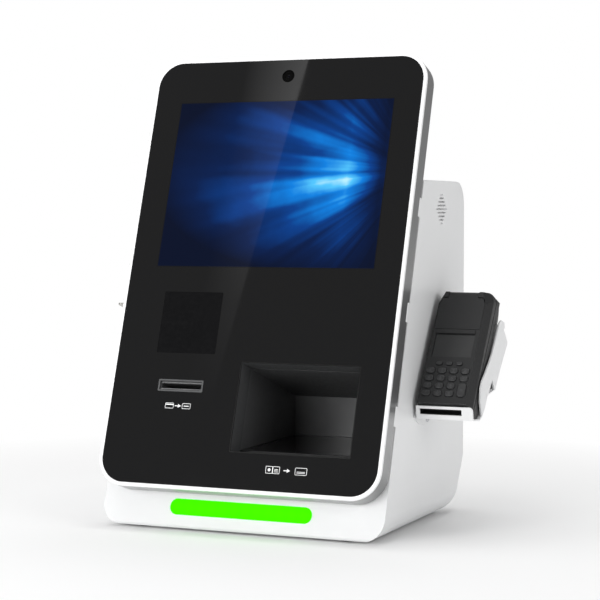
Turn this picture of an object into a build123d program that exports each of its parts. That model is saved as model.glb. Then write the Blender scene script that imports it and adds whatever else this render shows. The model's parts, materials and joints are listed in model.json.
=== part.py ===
from build123d import *
import os
from math import cos, radians, sin, tan

os.makedirs("parts", exist_ok=True)

# Counter-top self checkout kiosk. Millimetres. X runs across the front with 0 in the middle of the
# body, Y runs from the front to the back, Z is up. The origin is the centre of the four
# counter-fixing holes, on the counter's surface.

# ---- Door: a shallow tray that leans back and swings on its right edge
door_width = 387.0
door_height = 582.0
door_depth = 30.6
door_corner = 38.0
door_lean = 18.5            # degrees from upright
door_foot_y = -151.4        # lower edge of the door's front face
door_foot_z = 56.2
door_gap = 1.0              # between the door's back and the body's front
door_wall = 3.0
door_flange = 21.5          # width of the folded edge at the door's back
door_flange_t = 2.0
rim_width = 4.5
glass_t = 4.0
glass_ledge = 12.0
edge_clear = 0.2            # around pieces let into the glass

# ---- Body
body_top = 444.5
body_back = 175.0
body_wall = 2.0
body_flange = 15.0          # folded edge round the door opening
keel_radius = 28.0          # long lower edges
roof_radius = 32.0          # top rear edge
heel_y = 132.5              # where the sloped heel meets the underside
heel_z = 74.5               # where the sloped heel meets the back
foot_height = 3.0
foot_radius = 14.0
fixing_spacing_x = 280.0
fixing_spacing_y = 210.0
fixing_radius = 4.25        # clearance for M8
base_plate_t = 4.0

# ---- Rear panel and its screws
panel_width = 330.0
panel_low = 95.0
panel_high = 400.0
panel_gap = 0.4
panel_ledge = 10.0
screw_r = 2.0
screw_head_r = 4.0
screw_head_h = 2.4
screw_clear = 0.25
screw_length = 9.0

# ---- Door fittings, measured from the door's lower edge and its middle
display_x = 0.9
display_low = 291.6
display_w = 304.2
display_h = 228.2
display_case = (326.0, 252.0, 12.0)
camera_up = 554.5
camera_hole_r = 8.7
window_x = -91.5
window_low = 176.0
window_w = 83.0
window_h = 81.0
slot_x = -91.75
slot_up = 132.7
slot_bezel_w = 63.5
slot_bezel_h = 15.6
card_w = 54.0
card_l = 86.0
mouth_w = 57.0
mouth_h = 6.4
bay_x = 70.1
bay_low = 50.5
bay_w = 163.8
bay_h = 117.0
liner_t = 1.5

# ---- Hinges and lock
hinge_r = 3.2
hinge_length = 25.0
hinge_pin_r = 1.5
hinge_running = 0.05
hinge_heights = (111.5, 244.0, 382.0)
hinge_play = 0.5
hinge_lug = 13.5
lock_up = 249.5
lock_back = 45.0            # behind the door's front face
lock_r = 9.0
plug_r = 6.45
plug_running = 0.05
cam_reach = 24.0
cam_foot = 14.0
key_blade_t = 1.8
cam_x = 19.5 - door_width / 2
cam_t = 2.0

# ---- Light bar
light_w = 195.2
light_low = -27.7
light_high = -7.2
light_proud = 1.5

# ---- Passport bay behind the door
hood_t = 2.0
hood_floor = 102.5
hood_back = 75.0
hood_play = 1.4             # between the door's liner and the hood
platen_t = 3.0

# ---- Card dispenser behind the door
dispenser_w = 82.5
dispenser_front = 34.0      # behind the door's front face
dispenser_back = 150.0
dispenser_low = 108.0
dispenser_high = 186.0
hopper_play = 0.6
stack_h = 22.0
weight_h = 8.0
roller_r = 7.0
roller_shaft_r = 2.0
roller_running = 0.05

# ---- Shelf and what stands on it
shelf_z = 238.0
shelf_t = 2.0
fan_size = 80.0
fan_depth = 25.0
fan_z = 345.0
speaker_y = 81.0
speaker_z = 407.4
grille_pitch = 4.7
grille_slot_h = 2.2
grille_w = 41.0

# ---- Payment terminal, in its own leaning frame
term_beside = 39.8          # terminal's middle from the body's side
term_x = door_width / 2 + term_beside
term_foot_y = -34.4
term_foot_z = 166.0
term_lean = 34.0
term_half = 36.0
term_face_half = 31.4
term_length = 163.0
term_back = 48.0
key_pitch_x = 15.2
key_pitch_y = 10.8
key_w = 11.6
key_h = 8.2
key_play = 0.35
key_proud = 1.6
key_depth = 4.0
key_travel = 1.2
key_round = 0.47            # corner radius as a share of a key's height
key_low_row = 13.6
soft_key_up = 56.5
soft_key_w = 8.4
soft_key_h = 4.6
soft_key_pitch = 13.3
roll_r = 17.0
roll_w = 57.0
roll_up = 134.0
roll_in = 27.0
roll_play = 1.0
lid_low = 107.5
lid_high = 157.0
lid_t = 3.0
lid_pin_up = 161.0
lid_pin_in = 4.0
lid_barrel_r = 2.4
lid_pin_r = 1.2

# ---- Terminal bracket
sheet_t = 2.0
cheek_x = 39.2              # outer face, from the terminal's middle
lip_left = -35.3
lip_round = 5.0
lip_slot_w = 55.0
lip_slot_h = 7.6
lip_mid = -3.0
lip_slot_up = -6.66
lip_slot_in = 11.66


def block(x0, x1, y0, y1, z0, z1):
    """A box between two opposite corners."""
    return Pos((x0 + x1) / 2, (y0 + y1) / 2, (z0 + z1) / 2) * Box(x1 - x0, y1 - y0, z1 - z0)


def slab(x0, x1, y0, y1, z0, z1, r):
    """A plate with rounded corners, lying in XY."""
    face = RectangleRounded(x1 - x0, y1 - y0, r)
    return Pos((x0 + x1) / 2, (y0 + y1) / 2, z0) * extrude(face, z1 - z0)


def outline(points, radii=None):
    """A face from corner points, with a radius for each corner."""
    if radii is None:
        return make_face(Polyline(*points, close=True))
    return make_face(FilletPolyline(*points, radius=radii, close=True))


def side_prism(face, x0, x1):
    """A face drawn as (y, z), carried from x0 to x1."""
    return Pos(x0, 0, 0) * Plane.YZ.location * extrude(face, x1 - x0)


def front_prism(face, y0, y1):
    """A face drawn as (x, z), carried from y0 to y1."""
    return Pos(0, y1, 0) * Rot(90, 0, 0) * extrude(face, y1 - y0)


def rod(r, x0, x1):
    """A round bar along X."""
    return Pos((x0 + x1) / 2, 0, 0) * Rot(0, 90, 0) * Cylinder(r, x1 - x0)


def post(r, z0, z1):
    """A round bar along Z."""
    return Pos(0, 0, (z0 + z1) / 2) * Cylinder(r, z1 - z0)


def leaning(x, y, z, lean):
    """A frame that leans back: its X runs across, its Y up the slope, its Z out to the front."""
    a = radians(lean)
    return Plane(origin=(x, y, z), x_dir=(1, 0, 0), z_dir=(0, -cos(a), sin(a))).location


def solids(shapes):
    """Loose pieces that share one node."""
    return Compound(children=list(shapes))


def save(name, shape):
    """Write one piece."""
    export_step(shape, f"parts/{name}.step")


on_door = leaning(0, door_foot_y, door_foot_z, door_lean)
on_term = leaning(term_x, term_foot_y, term_foot_z, term_lean)
door_half = door_width / 2
lean_sin = sin(radians(door_lean))
lean_cos = cos(radians(door_lean))
front_depth = door_depth + door_gap


def front_up(z, depth):
    """Height along the slope of the point at height z, on the plane a depth behind the door's face."""
    return (z - door_foot_z + depth * lean_sin) / lean_cos


def front_y(z, depth):
    """Y of the point at height z, on the plane a depth behind the door's face."""
    return door_foot_y + front_up(z, depth) * lean_sin + depth * lean_cos


# =====================================================================  BODY

body_half = door_half


def body_form(inset):
    """The body's solid form, drawn in from its outside by an inset."""
    low = foot_height + inset
    high = body_top - inset
    back = body_back - inset
    depth = front_depth + inset
    slope = (heel_z - foot_height) / (body_back - heel_y)
    steep = (1 + slope ** 2) ** 0.5
    heel_up = heel_z + inset * (steep - slope)
    heel_in = heel_y - inset * (steep - 1) / slope
    side = outline(
        [(front_y(low, depth), low), (front_y(high, depth), high), (back, high),
         (back, heel_up), (heel_in, low)],
        [max(4 - inset, 1), max(4 - inset, 1), roof_radius - inset, 12, 10])
    half = body_half - inset
    keel = keel_radius - inset
    edge = max(3 - inset, 0.8)
    across = outline([(-half, low), (half, low), (half, high), (-half, high)], [keel, keel, edge, edge])
    return side_prism(side, -half, half) & front_prism(across, front_y(low, depth) - 5, back + 5)


def grille(side):
    """Slots of the speaker grille in one side wall, forming a diamond."""
    slots = []
    for step in range(-4, 5):
        width = grille_w * (1 - abs(step) / 5.2)
        slot = Pos(side * body_half, speaker_y, speaker_z + step * grille_pitch)
        slots.append(slot * Box(4 * body_wall, width, grille_slot_h))
    return slots


fixing_points = [(sx * fixing_spacing_x / 2, sy * fixing_spacing_y / 2) for sx in (-1, 1) for sy in (-1, 1)]
panel_half = panel_width / 2
panel_screw_points = [(sx * (panel_half - panel_ledge / 2), z) for sx in (-1, 1)
                      for z in (panel_low + 12, (panel_low + panel_high) / 2, panel_high - 12)]
opening_half = body_half - body_flange
opening_low = 12.0
opening_high = front_up(body_top - 20, front_depth)

# Bracket screw places, in the terminal's frame as (up, in)
bracket_screw_points = [(8.0, 60.0), (34.0, 60.0), (82.0, 66.0), (116.0, 76.0)]
cable_hole = (100.0, 66.0)
cable_hole_r = 8.0
flange_x = body_half - term_x

shell = body_form(0) - body_form(body_wall)
shell -= on_door * slab(-opening_half, opening_half, opening_low, opening_high,
                        -front_depth - 3 * body_wall, -front_depth + 3 * body_wall, 18)
shell -= front_prism(outline([(-panel_half, panel_low), (panel_half, panel_low), (panel_half, panel_high),
                              (-panel_half, panel_high)], [4] * 4), body_back - 2 * body_wall, body_back + 5)
ledge_out = outline([(-panel_half - 5, panel_low - 5), (panel_half + 5, panel_low - 5),
                     (panel_half + 5, panel_high + 5), (-panel_half - 5, panel_high + 5)], [8] * 4)
ledge_in = outline([(-panel_half + panel_ledge, panel_low + panel_ledge),
                    (panel_half - panel_ledge, panel_low + panel_ledge),
                    (panel_half - panel_ledge, panel_high - panel_ledge),
                    (-panel_half + panel_ledge, panel_high - panel_ledge)], [4] * 4)
ledge_y = body_back - body_wall
shell += front_prism(ledge_out - ledge_in, ledge_y - 1.5, ledge_y)
for side in (-1, 1):
    for slot in grille(side):
        shell -= slot
for x, y in fixing_points:
    shell -= Pos(x, y, 0) * post(fixing_radius, 0, 10)
for x, z in panel_screw_points:
    shell -= Pos(x, body_back, z) * Rot(90, 0, 0) * post(screw_r, -10, 10)
shell -= on_door * slab(-light_w / 2 + 2, light_w / 2 - 2, light_low + 2, light_high - 2,
                        -front_depth - 3 * body_wall, -front_depth + 1, 8)
shell -= on_door * Pos(-body_half, lock_up, -lock_back) * rod(lock_r, -8, 8)
for up, into in bracket_screw_points:
    shell -= on_term * Pos(flange_x, up, -into) * rod(screw_r, -6, 6)
shell -= on_term * Pos(flange_x, cable_hole[0], -cable_hole[1]) * rod(cable_hole_r, -6, 6)
save("body_shell", shell)

base_low = foot_height + body_wall
base_half = body_half - keel_radius - 1.5
base = block(-base_half, base_half, front_y(base_low, front_depth) + 12, heel_y - 14, base_low, base_low + base_plate_t)
for x, y in fixing_points:
    base -= Pos(x, y, 0) * post(fixing_radius, 0, 12)
save("base_plate", base)

feet = []
for x, y in fixing_points:
    foot = Pos(x, y, 0) * (post(foot_radius, 0, foot_height) - post(fixing_radius, -1, foot_height + 1))
    feet.append(foot)
save("rubber_feet", solids(feet))

# ---- Rear panel with its vents
panel = front_prism(outline([(-panel_half + panel_gap, panel_low + panel_gap),
                             (panel_half - panel_gap, panel_low + panel_gap),
                             (panel_half - panel_gap, panel_high - panel_gap),
                             (-panel_half + panel_gap, panel_high - panel_gap)], [3.6] * 4),
                    body_back - body_wall, body_back)
for x, z in panel_screw_points:
    panel -= Pos(x, body_back, z) * Rot(90, 0, 0) * post(screw_r + screw_clear, -10, 10)
for step in range(-5, 6):
    reach = ((fan_size / 2 - 2) ** 2 - (step * 6.4) ** 2) ** 0.5
    panel -= Pos(0, body_back, fan_z + step * 6.4) * Box(2 * reach, 10, 3)
for bank in (-1, 0, 1):
    for step in range(8):
        panel -= Pos(bank * 92, body_back, 205 + step * 8) * Box(70, 10, 3)

inlet_x = -105.0
inlet_z = 140.0
inlet_w = 27.4
inlet_h = 48.0
inlet_depth = 24.0
rocker_pin_r = 1.2
panel -= Pos(inlet_x, body_back, inlet_z) * Box(inlet_w + 0.4, 12, inlet_h + 0.4)
save("rear_panel", panel)


def pan_screw(length):
    """A pan-head screw along Z, with the head above Z 0."""
    head = Pos(0, 0, screw_head_h / 2) * Cylinder(screw_head_r, screw_head_h)
    head = fillet(head.edges().sort_by(Axis.Z)[-1], 1.2)
    head -= Pos(0, 0, screw_head_h) * Box(0.9, 4.6, 2.4)
    head -= Pos(0, 0, screw_head_h) * Box(4.6, 0.9, 2.4)
    return head + post(screw_r, -length, 0)


screws = []
for x, z in panel_screw_points:
    screws.append(Pos(x, body_back, z) * Rot(-90, 0, 0) * pan_screw(screw_length))
for up, into in bracket_screw_points:
    screws.append(on_term * Pos(flange_x + sheet_t, up, -into) * Rot(0, 90, 0) * pan_screw(screw_length))
save("screws", solids(screws))

# ---- Power inlet with its switch
inlet = block(-inlet_w / 2 - 3, inlet_w / 2 + 3, body_back, body_back + 2.5, -inlet_h / 2 - 3, inlet_h / 2 + 3)
inlet = fillet(inlet.edges().filter_by(Axis.Y), 3)
inlet += block(-inlet_w / 2, inlet_w / 2, body_back - inlet_depth, body_back, -inlet_h / 2, inlet_h / 2)
socket_z = -9.0
switch_z = 13.5
socket_face = outline([(-12, socket_z - 8.5), (12, socket_z - 8.5), (12, socket_z + 4), (7.5, socket_z + 8.5),
                       (-7.5, socket_z + 8.5), (-12, socket_z + 4)], [2] * 6)
inlet -= front_prism(socket_face, body_back - 16, body_back + 5)
for x, z in ((-7, -1.5), (0, 1.5), (7, -1.5)):
    inlet += block(x - 1, x + 1, body_back - 16, body_back - 2, socket_z + z - 2, socket_z + z + 2)
inlet -= block(-10.2, 10.2, body_back - 12, body_back + 5, switch_z - 6.8, switch_z + 6.8)
rocker_axis_y = body_back - 3
inlet -= Pos(0, rocker_axis_y, switch_z) * post(rocker_pin_r + 0.05, -8.6, 8.6)
save("power_inlet", Pos(inlet_x, 0, inlet_z) * inlet)

rocker_tilt = 10.0
rocker = front_prism(outline([(-9.5, -6.2), (9.5, -6.2), (9.5, 6.2), (-9.5, 6.2)], [1] * 4), -5, 4.5)
rocker -= Pos(0, 16.4, 0) * Cylinder(14, 14)
rocker &= Cylinder(9.7, 20)
rocker += post(rocker_pin_r, -8.2, 8.2)
rocker = Rot(0, 0, rocker_tilt) * rocker
save("power_rocker", Pos(inlet_x, rocker_axis_y, inlet_z + switch_z) * rocker)

# ---- Equipment shelf with the two hangers that carry the card dispenser
shelf_front = front_y(shelf_z, front_depth + body_wall) + 12
shelf_back = body_back - body_wall - 3
inside_half = body_half - body_wall
dispenser_left = slot_x - dispenser_w / 2
dispenser_right = slot_x + dispenser_w / 2
shelf = block(-inside_half, inside_half, shelf_front, shelf_back, shelf_z, shelf_z + shelf_t)
for side in (-1, 1):
    x0, x1 = sorted((side * inside_half, side * (inside_half - shelf_t)))
    shelf += block(x0, x1, shelf_front, shelf_back, shelf_z - 14, shelf_z)
for x0, x1 in ((dispenser_left - shelf_t, dispenser_left), (dispenser_right, dispenser_right + shelf_t)):
    shelf += block(x0, x1, -40, 20, 152, shelf_z)
save("equipment_shelf", shelf)

shelf_top = shelf_z + shelf_t
computer = block(-178, -8, 8, 148, shelf_top, shelf_top + 44)
computer = fillet(computer.edges().filter_by(Axis.Z), 5)
for step in range(9):
    computer -= block(-160 + step * 16, -153 + step * 16, 20, 100, shelf_top + 42, shelf_top + 50)
save("controller_computer", computer)
supply = block(14, 172, 20, 118, shelf_top, shelf_top + 40)
supply = fillet(supply.edges().filter_by(Axis.Z), 2)
for step in range(8):
    supply -= block(30 + step * 16, 38 + step * 16, 34, 104, shelf_top + 38, shelf_top + 50)
save("power_supply", supply)

# ---- Fan behind the panel's round vent, its axis along Y
fan_half = fan_size / 2
fan_hub_r = 16.0
fan_bore_r = 38.0
fan_pin_r = 1.5
fan_front = body_back - body_wall - fan_depth
at_fan = Plane(origin=(0, fan_front, fan_z), x_dir=(1, 0, 0), z_dir=(0, 1, 0)).location
frame = slab(-fan_half, fan_half, -fan_half, fan_half, 0, fan_depth, 4) - post(fan_bore_r, -1, fan_depth + 1)
for turn in range(4):
    arm = Rot(0, 0, 45 + 90 * turn) * block(fan_hub_r - 2, fan_bore_r + 2, -2, 2, 0, 3)
    frame += arm
    frame -= Rot(0, 0, 45 + 90 * turn) * Pos(fan_half * 1.26, 0, 0) * post(2.15, -1, fan_depth + 1)
frame += post(fan_hub_r - 1, 0, 3)
frame += post(fan_pin_r, 3, 14)
save("fan_frame", at_fan * frame)

rotor = post(fan_hub_r, 4, 22) - post(fan_pin_r + 0.05, 3, 15)
for turn in range(7):
    blade = Pos((fan_hub_r + fan_bore_r) / 2 - 1, 0, 13) * Rot(34, 0, 0) * Box(fan_bore_r - fan_hub_r - 1, 17, 1.6)
    rotor += Rot(0, 0, turn * 360 / 7) * blade
rotor &= post(fan_bore_r - 1.2, 4, 22)
save("fan_rotor", at_fan * rotor)

# ---- Speakers behind the side grilles
driver = post(27, 0, 3) + post(16, 11, 20) + Pos(0, 0, 7) * Cone(25, 16, 8)
driver -= Pos(0, 0, 1) * Cone(23, 12, 8)
speakers = [Pos(inside_half, speaker_y, speaker_z) * Rot(0, -90, 0) * driver,
            Pos(-inside_half, speaker_y, speaker_z) * Rot(0, 90, 0) * driver]
save("speakers", solids(speakers))

# ---- Light bar let into the strip under the door
light = slab(-light_w / 2, light_w / 2, light_low, light_high, -front_depth, -front_depth + light_proud, 9.9)
light = fillet(light.faces().sort_by(Axis.Z)[-1].edges(), 0.8)
light += slab(-light_w / 2 + 2.2, light_w / 2 - 2.2, light_low + 2.2, light_high - 2.2,
              -front_depth - 6, -front_depth, 7.8)
save("light_bar", on_door * light)

# ---- Passport hood, scanner and platen
bay_left = bay_x - bay_w / 2
bay_right = bay_x + bay_w / 2
bay_high = bay_low + bay_h
hood_depth = door_depth + hood_play
hood_top_up = bay_high - liner_t


def hood_points(inset):
    """Corners of the hood's side view, as (y, z)."""
    depth = hood_depth
    up = hood_top_up + inset
    y0 = door_foot_y + up * lean_sin + depth * lean_cos
    z0 = door_foot_z + up * lean_cos - depth * lean_sin
    back = hood_back + inset
    z1 = z0 - (back - y0) * tan(radians(door_lean))
    return [(front_y(hood_floor, depth), hood_floor), (y0, z0), (back, z1), (back, hood_floor)]


hood = side_prism(outline(hood_points(hood_t)), bay_left - hood_t, bay_right + hood_t)
hood -= side_prism(outline(hood_points(0)), bay_left, bay_right)
hood -= block(bay_left, bay_right, -200, hood_back, hood_floor - 1, hood_floor + 20)
save("passport_hood", hood)

scanner_front = front_y(hood_floor, hood_depth)
scanner = block(bay_left - hood_t, bay_right + hood_t, scanner_front, hood_back + hood_t,
                base_low + base_plate_t, hood_floor)
scanner = fillet(scanner.edges().filter_by(Axis.Z), 1.5)
platen_x0, platen_x1 = bay_left + 5, bay_right - 5
platen_y0, platen_y1 = scanner_front + 6, hood_back - 6
scanner -= block(platen_x0, platen_x1, platen_y0, platen_y1, hood_floor - platen_t, hood_floor + 5)
scanner -= block(platen_x0 + 5, platen_x1 - 5, platen_y0 + 5, platen_y1 - 5, 30, hood_floor + 5)
save("passport_scanner", scanner)
platen = slab(platen_x0 + edge_clear, platen_x1 - edge_clear, platen_y0 + edge_clear, platen_y1 - edge_clear,
              hood_floor - platen_t, hood_floor, 1)
save("scanner_glass", platen)

# ---- Card dispenser, drawn in the door's frame and fixed in the body
stack_low = slot_up - 0.4
hopper_back = dispenser_back - 5
hopper_front = hopper_back - card_l - 2 * hopper_play
hopper_half = card_w / 2 + hopper_play
housing = block(dispenser_left, dispenser_right, dispenser_low, dispenser_high, -dispenser_back, -dispenser_front)
housing = fillet(housing.edges().filter_by(Axis.Z), 2)
housing -= block(slot_x - hopper_half, slot_x + hopper_half, stack_low, dispenser_high + 5,
                 -hopper_back, -hopper_front)
housing -= block(slot_x - mouth_w / 2, slot_x + mouth_w / 2, slot_up - mouth_h / 2, slot_up + mouth_h / 2,
                 -hopper_front - 1, -dispenser_front + 5)
housing -= block(slot_x - hopper_half, slot_x + hopper_half, slot_up + 12, dispenser_high + 5,
                 -hopper_front + 3, -dispenser_front - 3)
roller_up = stack_low - roller_r - 0.3
roller_in = 85.0
housing -= block(slot_x - 14, slot_x + 14, roller_up - roller_r - 1, stack_low + 1,
                 -roller_in - roller_r - 1, -roller_in + roller_r + 1)
housing -= Pos(slot_x, roller_up, -roller_in) * rod(roller_shaft_r + roller_running, -dispenser_w / 2 + 4,
                                                     dispenser_w / 2 - 4)
save("dispenser_housing", on_door * housing)
roller = rod(roller_r, -12, 12) + rod(roller_shaft_r, -dispenser_w / 2 + 6, dispenser_w / 2 - 6)
save("feed_roller", on_door * Pos(slot_x, roller_up, -roller_in) * roller)
card_mid = -(hopper_front + hopper_back) / 2
stack = block(slot_x - card_w / 2, slot_x + card_w / 2, stack_low, stack_low + stack_h,
              card_mid - card_l / 2, card_mid + card_l / 2)
stack = fillet(stack.edges().filter_by(Axis.Y), 3.2)
save("card_stack", on_door * stack)
weight_low = stack_low + stack_h + 0.05
weight = block(slot_x - card_w / 2, slot_x + card_w / 2, weight_low, weight_low + weight_h,
               card_mid - card_l / 2 + 3, card_mid + card_l / 2 - 3)
weight = fillet(weight.edges().filter_by(Axis.Y), 4)
weight += Pos(slot_x, weight_low + weight_h + 4, card_mid) * Rot(90, 0, 0) * Cylinder(7, 8)
save("card_weight", on_door * weight)

# ---- Hinge knuckles on the body, pins and lugs on the door
hinge_x = door_half - hinge_r
hinge_in = door_depth - hinge_r


def along_door(shape):
    """Turn a round bar so that it runs up the door."""
    return Rot(-90, 0, 0) * shape


knuckles = []
pins = []
for up in hinge_heights:
    barrel = Pos(hinge_x, up, -hinge_in) * along_door(post(hinge_r, -hinge_length / 2, hinge_length / 2))
    neck = block(hinge_x - hinge_r, hinge_x + hinge_r, up - hinge_length / 2, up + hinge_length / 2,
                 -front_depth, -hinge_in)
    bore = Pos(hinge_x, up, -hinge_in) * along_door(post(hinge_pin_r + hinge_running, -40, 40))
    knuckles.append(on_door * (barrel + neck - bore))
    reach = hinge_length / 2 + hinge_play + hinge_lug - 2
    pins.append(on_door * Pos(hinge_x, up, -hinge_in) * along_door(post(hinge_pin_r, -reach, reach)))
save("hinge_knuckles", solids(knuckles))
save("hinge_pins", solids(pins))

# ---- Door lock on the left side of the body
lock_place = on_door * Pos(-body_half, lock_up, -lock_back)
barrel = rod(lock_r + 2.5, -2, 0) + rod(lock_r, 0, 14) - rod(plug_r + plug_running, -5, 20)
save("lock_barrel", lock_place * barrel)
cam_in = cam_x + body_half
plug = rod(plug_r, -2.2, cam_in) + rod(plug_r - 2, cam_in, cam_in + cam_t)
plug += block(cam_in, cam_in + cam_t, -5, 5, -cam_reach, 5)
plug += block(cam_in, cam_in + cam_t, 0, cam_foot, -cam_reach, -cam_reach + 4)
plug -= block(-5, 12, -key_blade_t / 2, key_blade_t / 2, -3.6, 3.6)
save("lock_plug", lock_place * plug)
key = block(-6, 11.5, -key_blade_t / 2, key_blade_t / 2, -3.6, 3.6)
bow = slab(-29, -5, -10, 10, -key_blade_t / 2, key_blade_t / 2, 6) - Pos(-22, 0, 0) * Cylinder(2.6, 6)
key += Rot(90, 0, 0) * bow
save("lock_key", lock_place * key)

# =====================================================================  DOOR

door_form = slab(-door_half, door_half, 0, door_height, -door_depth, -glass_t, door_corner)
door_form = fillet(door_form.faces().sort_by(Axis.Z)[0].edges(), 2.5)
in_half = door_half - door_wall
ledge_back = glass_t + 2
frame = door_form - slab(-in_half, in_half, door_wall, door_height - door_wall,
                         -door_depth + door_flange_t, -ledge_back, door_corner - door_wall)
edge = rim_width + glass_ledge
frame -= slab(-door_half + edge, door_half - edge, edge, door_height - edge, -ledge_back - 1, 0,
              door_corner - edge)
frame -= slab(-door_half + door_flange, door_half - door_flange, door_flange, door_height - door_flange,
              -door_depth - 1, -door_depth + door_flange_t + 1, door_corner - door_flange)
for up in hinge_heights:
    reach = hinge_length / 2 + hinge_play
    lug = block(door_half - 10.5, door_half - 1, up - reach - hinge_lug, up + reach + hinge_lug,
                -door_depth + door_flange_t, -20)
    frame += lug
    frame -= block(hinge_x - hinge_r - 0.4, door_half + 1, up - reach, up + reach,
                   -door_depth - 1, -hinge_in + hinge_r + 0.4)
    frame -= Pos(hinge_x, up, -hinge_in) * along_door(post(hinge_pin_r, -reach - hinge_lug + 2,
                                                           reach + hinge_lug - 2))
save("door_frame", on_door * frame)

rim = slab(-door_half, door_half, 0, door_height, -glass_t, 0, door_corner)
rim = fillet(rim.faces().sort_by(Axis.Z)[-1].edges(), 1.4)
rim -= slab(-door_half + rim_width, door_half - rim_width, rim_width, door_height - rim_width,
            -glass_t - 1, 1, door_corner - rim_width)
save("door_rim", on_door * rim)

glass_edge = rim_width + edge_clear
glass = slab(-door_half + glass_edge, door_half - glass_edge, glass_edge, door_height - glass_edge,
             -glass_t, 0, door_corner - glass_edge)
display_x0 = display_x - display_w / 2
display_x1 = display_x + display_w / 2
display_high = display_low + display_h
glass -= block(display_x0 - edge_clear, display_x1 + edge_clear, display_low - edge_clear,
               display_high + edge_clear, -glass_t - 1, 1)
window_x0 = window_x - window_w / 2
window_x1 = window_x + window_w / 2
window_high = window_low + window_h
glass -= slab(window_x0 - edge_clear, window_x1 + edge_clear, window_low - edge_clear,
              window_high + edge_clear, -glass_t - 1, 1, 1.5)
bezel_x0 = slot_x - slot_bezel_w / 2
bezel_x1 = slot_x + slot_bezel_w / 2
bezel_low = slot_up - slot_bezel_h / 2
bezel_high = slot_up + slot_bezel_h / 2
glass -= slab(bezel_x0 - edge_clear, bezel_x1 + edge_clear, bezel_low - edge_clear,
              bezel_high + edge_clear, -glass_t - 1, 1, 1.5)
glass -= slab(bay_left, bay_right, bay_low, bay_high, -glass_t - 1, 1, 2)
glass -= Pos(0, camera_up, 0) * post(camera_hole_r, -glass_t - 1, 1)
save("front_glass", on_door * glass)

case_w, case_h, case_t = display_case
display_up = display_low + display_h / 2
display = block(display_x0, display_x1, display_low, display_high, -glass_t, 0)
display += block(display_x - case_w / 2, display_x + case_w / 2, display_up - case_h / 2,
                 display_up + case_h / 2, -glass_t - case_t, -glass_t)
for side in (-1, 1):
    for up in (display_up - 90, display_up + 90):
        x0, x1 = sorted((display_x + side * (case_w / 2 - 2), side * (door_half - 9)))
        display += block(x0, x1, up - 8, up + 8, -ledge_back - 3, -ledge_back)
save("touch_display", on_door * display)

window = slab(window_x0, window_x1, window_low, window_high, -glass_t, 0, 1.3)
save("reader_window", on_door * window)
reader = slab(window_x0 - 4, window_x1 + 4, window_low - 4, window_high + 4, -glass_t - 18, -glass_t, 3)
save("reader_module", on_door * reader)

camera = slab(-16, 16, camera_up - 14, camera_up + 10, -glass_t - 12, -glass_t, 2)
camera += Pos(0, camera_up, 0) * post(camera_hole_r - 0.15, -glass_t, -1.2)
camera -= Pos(0, camera_up, -1.2) * Cone(4.2, 6.6, 3, align=(Align.CENTER, Align.CENTER, Align.MAX))
camera += Pos(0, camera_up, -3.6) * (Sphere(5) & block(-6, 6, -6, 6, -3, 2.2))
save("camera_module", on_door * camera)

# Card bezel: a flush frame, a recess and a throat that meets the dispenser's mouth
throat_x0 = slot_x - mouth_w / 2
throat_x1 = slot_x + mouth_w / 2
bezel = slab(bezel_x0, bezel_x1, bezel_low, bezel_high, -glass_t, 0.6, 1.3)
bezel += slab(bezel_x0 - 3, bezel_x1 + 3, bezel_low - 3, bezel_high + 3, -glass_t - 2, -glass_t, 2)
bezel += block(throat_x0 - 1.5, throat_x1 + 1.5, bezel_low + 1, bezel_high - 1, -door_depth + 1, -glass_t)
bezel -= block(bezel_x0 + 2, bezel_x1 - 2, bezel_low + 2, bezel_high - 2, -3.4, 2)
bezel -= block(throat_x0, throat_x1, slot_up - mouth_h / 2, slot_up + mouth_h / 2, -door_depth, 2)
save("card_bezel", on_door * bezel)

surround = slab(bay_left + 0.15, bay_right - 0.15, bay_low + 0.15, bay_high - 0.15, -door_depth + 0.6, 0, 1.8)
surround += slab(bay_left - 3, bay_right + 3, bay_low - 3, bay_high + 3, -glass_t - 2, -glass_t, 3)
surround -= slab(bay_left + liner_t, bay_right - liner_t, bay_low + liner_t, bay_high - liner_t,
                 -door_depth, 1, 1)
save("passport_surround", on_door * surround)

cover_t = 1.5
cover_z1 = -door_depth + door_flange_t + cover_t
cover = slab(-180, 180, 10, door_height - 10, -door_depth + door_flange_t, cover_z1, 26)
cover -= block(bay_left - edge_clear, bay_right + edge_clear, bay_low - edge_clear, bay_high + edge_clear,
               -door_depth, 0)
cover -= block(throat_x0 - 1.7, throat_x1 + 1.7, bezel_low + 0.8, bezel_high - 0.8, -door_depth, 0)
for step in range(7):
    cover -= block(-60, 60, 470 + step * 9, 473 + step * 9, -door_depth, 0)
catch_x = cam_x + cam_t + 4
catch_in = lock_back + cam_reach + 4.6
cover += block(catch_x, catch_x + 2, lock_up - 8, lock_up + cam_foot + 2, -catch_in - 2,
               -door_depth + door_flange_t)
cover += block(catch_x - 8, catch_x, lock_up + 7, lock_up + cam_foot + 2, -catch_in - 2, -catch_in)
save("door_back_cover", on_door * cover)

# =====================================================================  PAYMENT TERMINAL


def part_line(up):
    """Depth of the joint between the two housings at a height up the terminal."""
    return 21.2 + 0.041 * up


def term_outline(inset):
    """Front view of the terminal's face, with its top corners cut."""
    half = term_face_half - inset
    return outline([(-half, -20), (half, -20), (half, 145 - inset), (half - 6.4, term_length - inset),
                    (-half + 6.4, term_length - inset), (-half, 145 - inset)])


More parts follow.
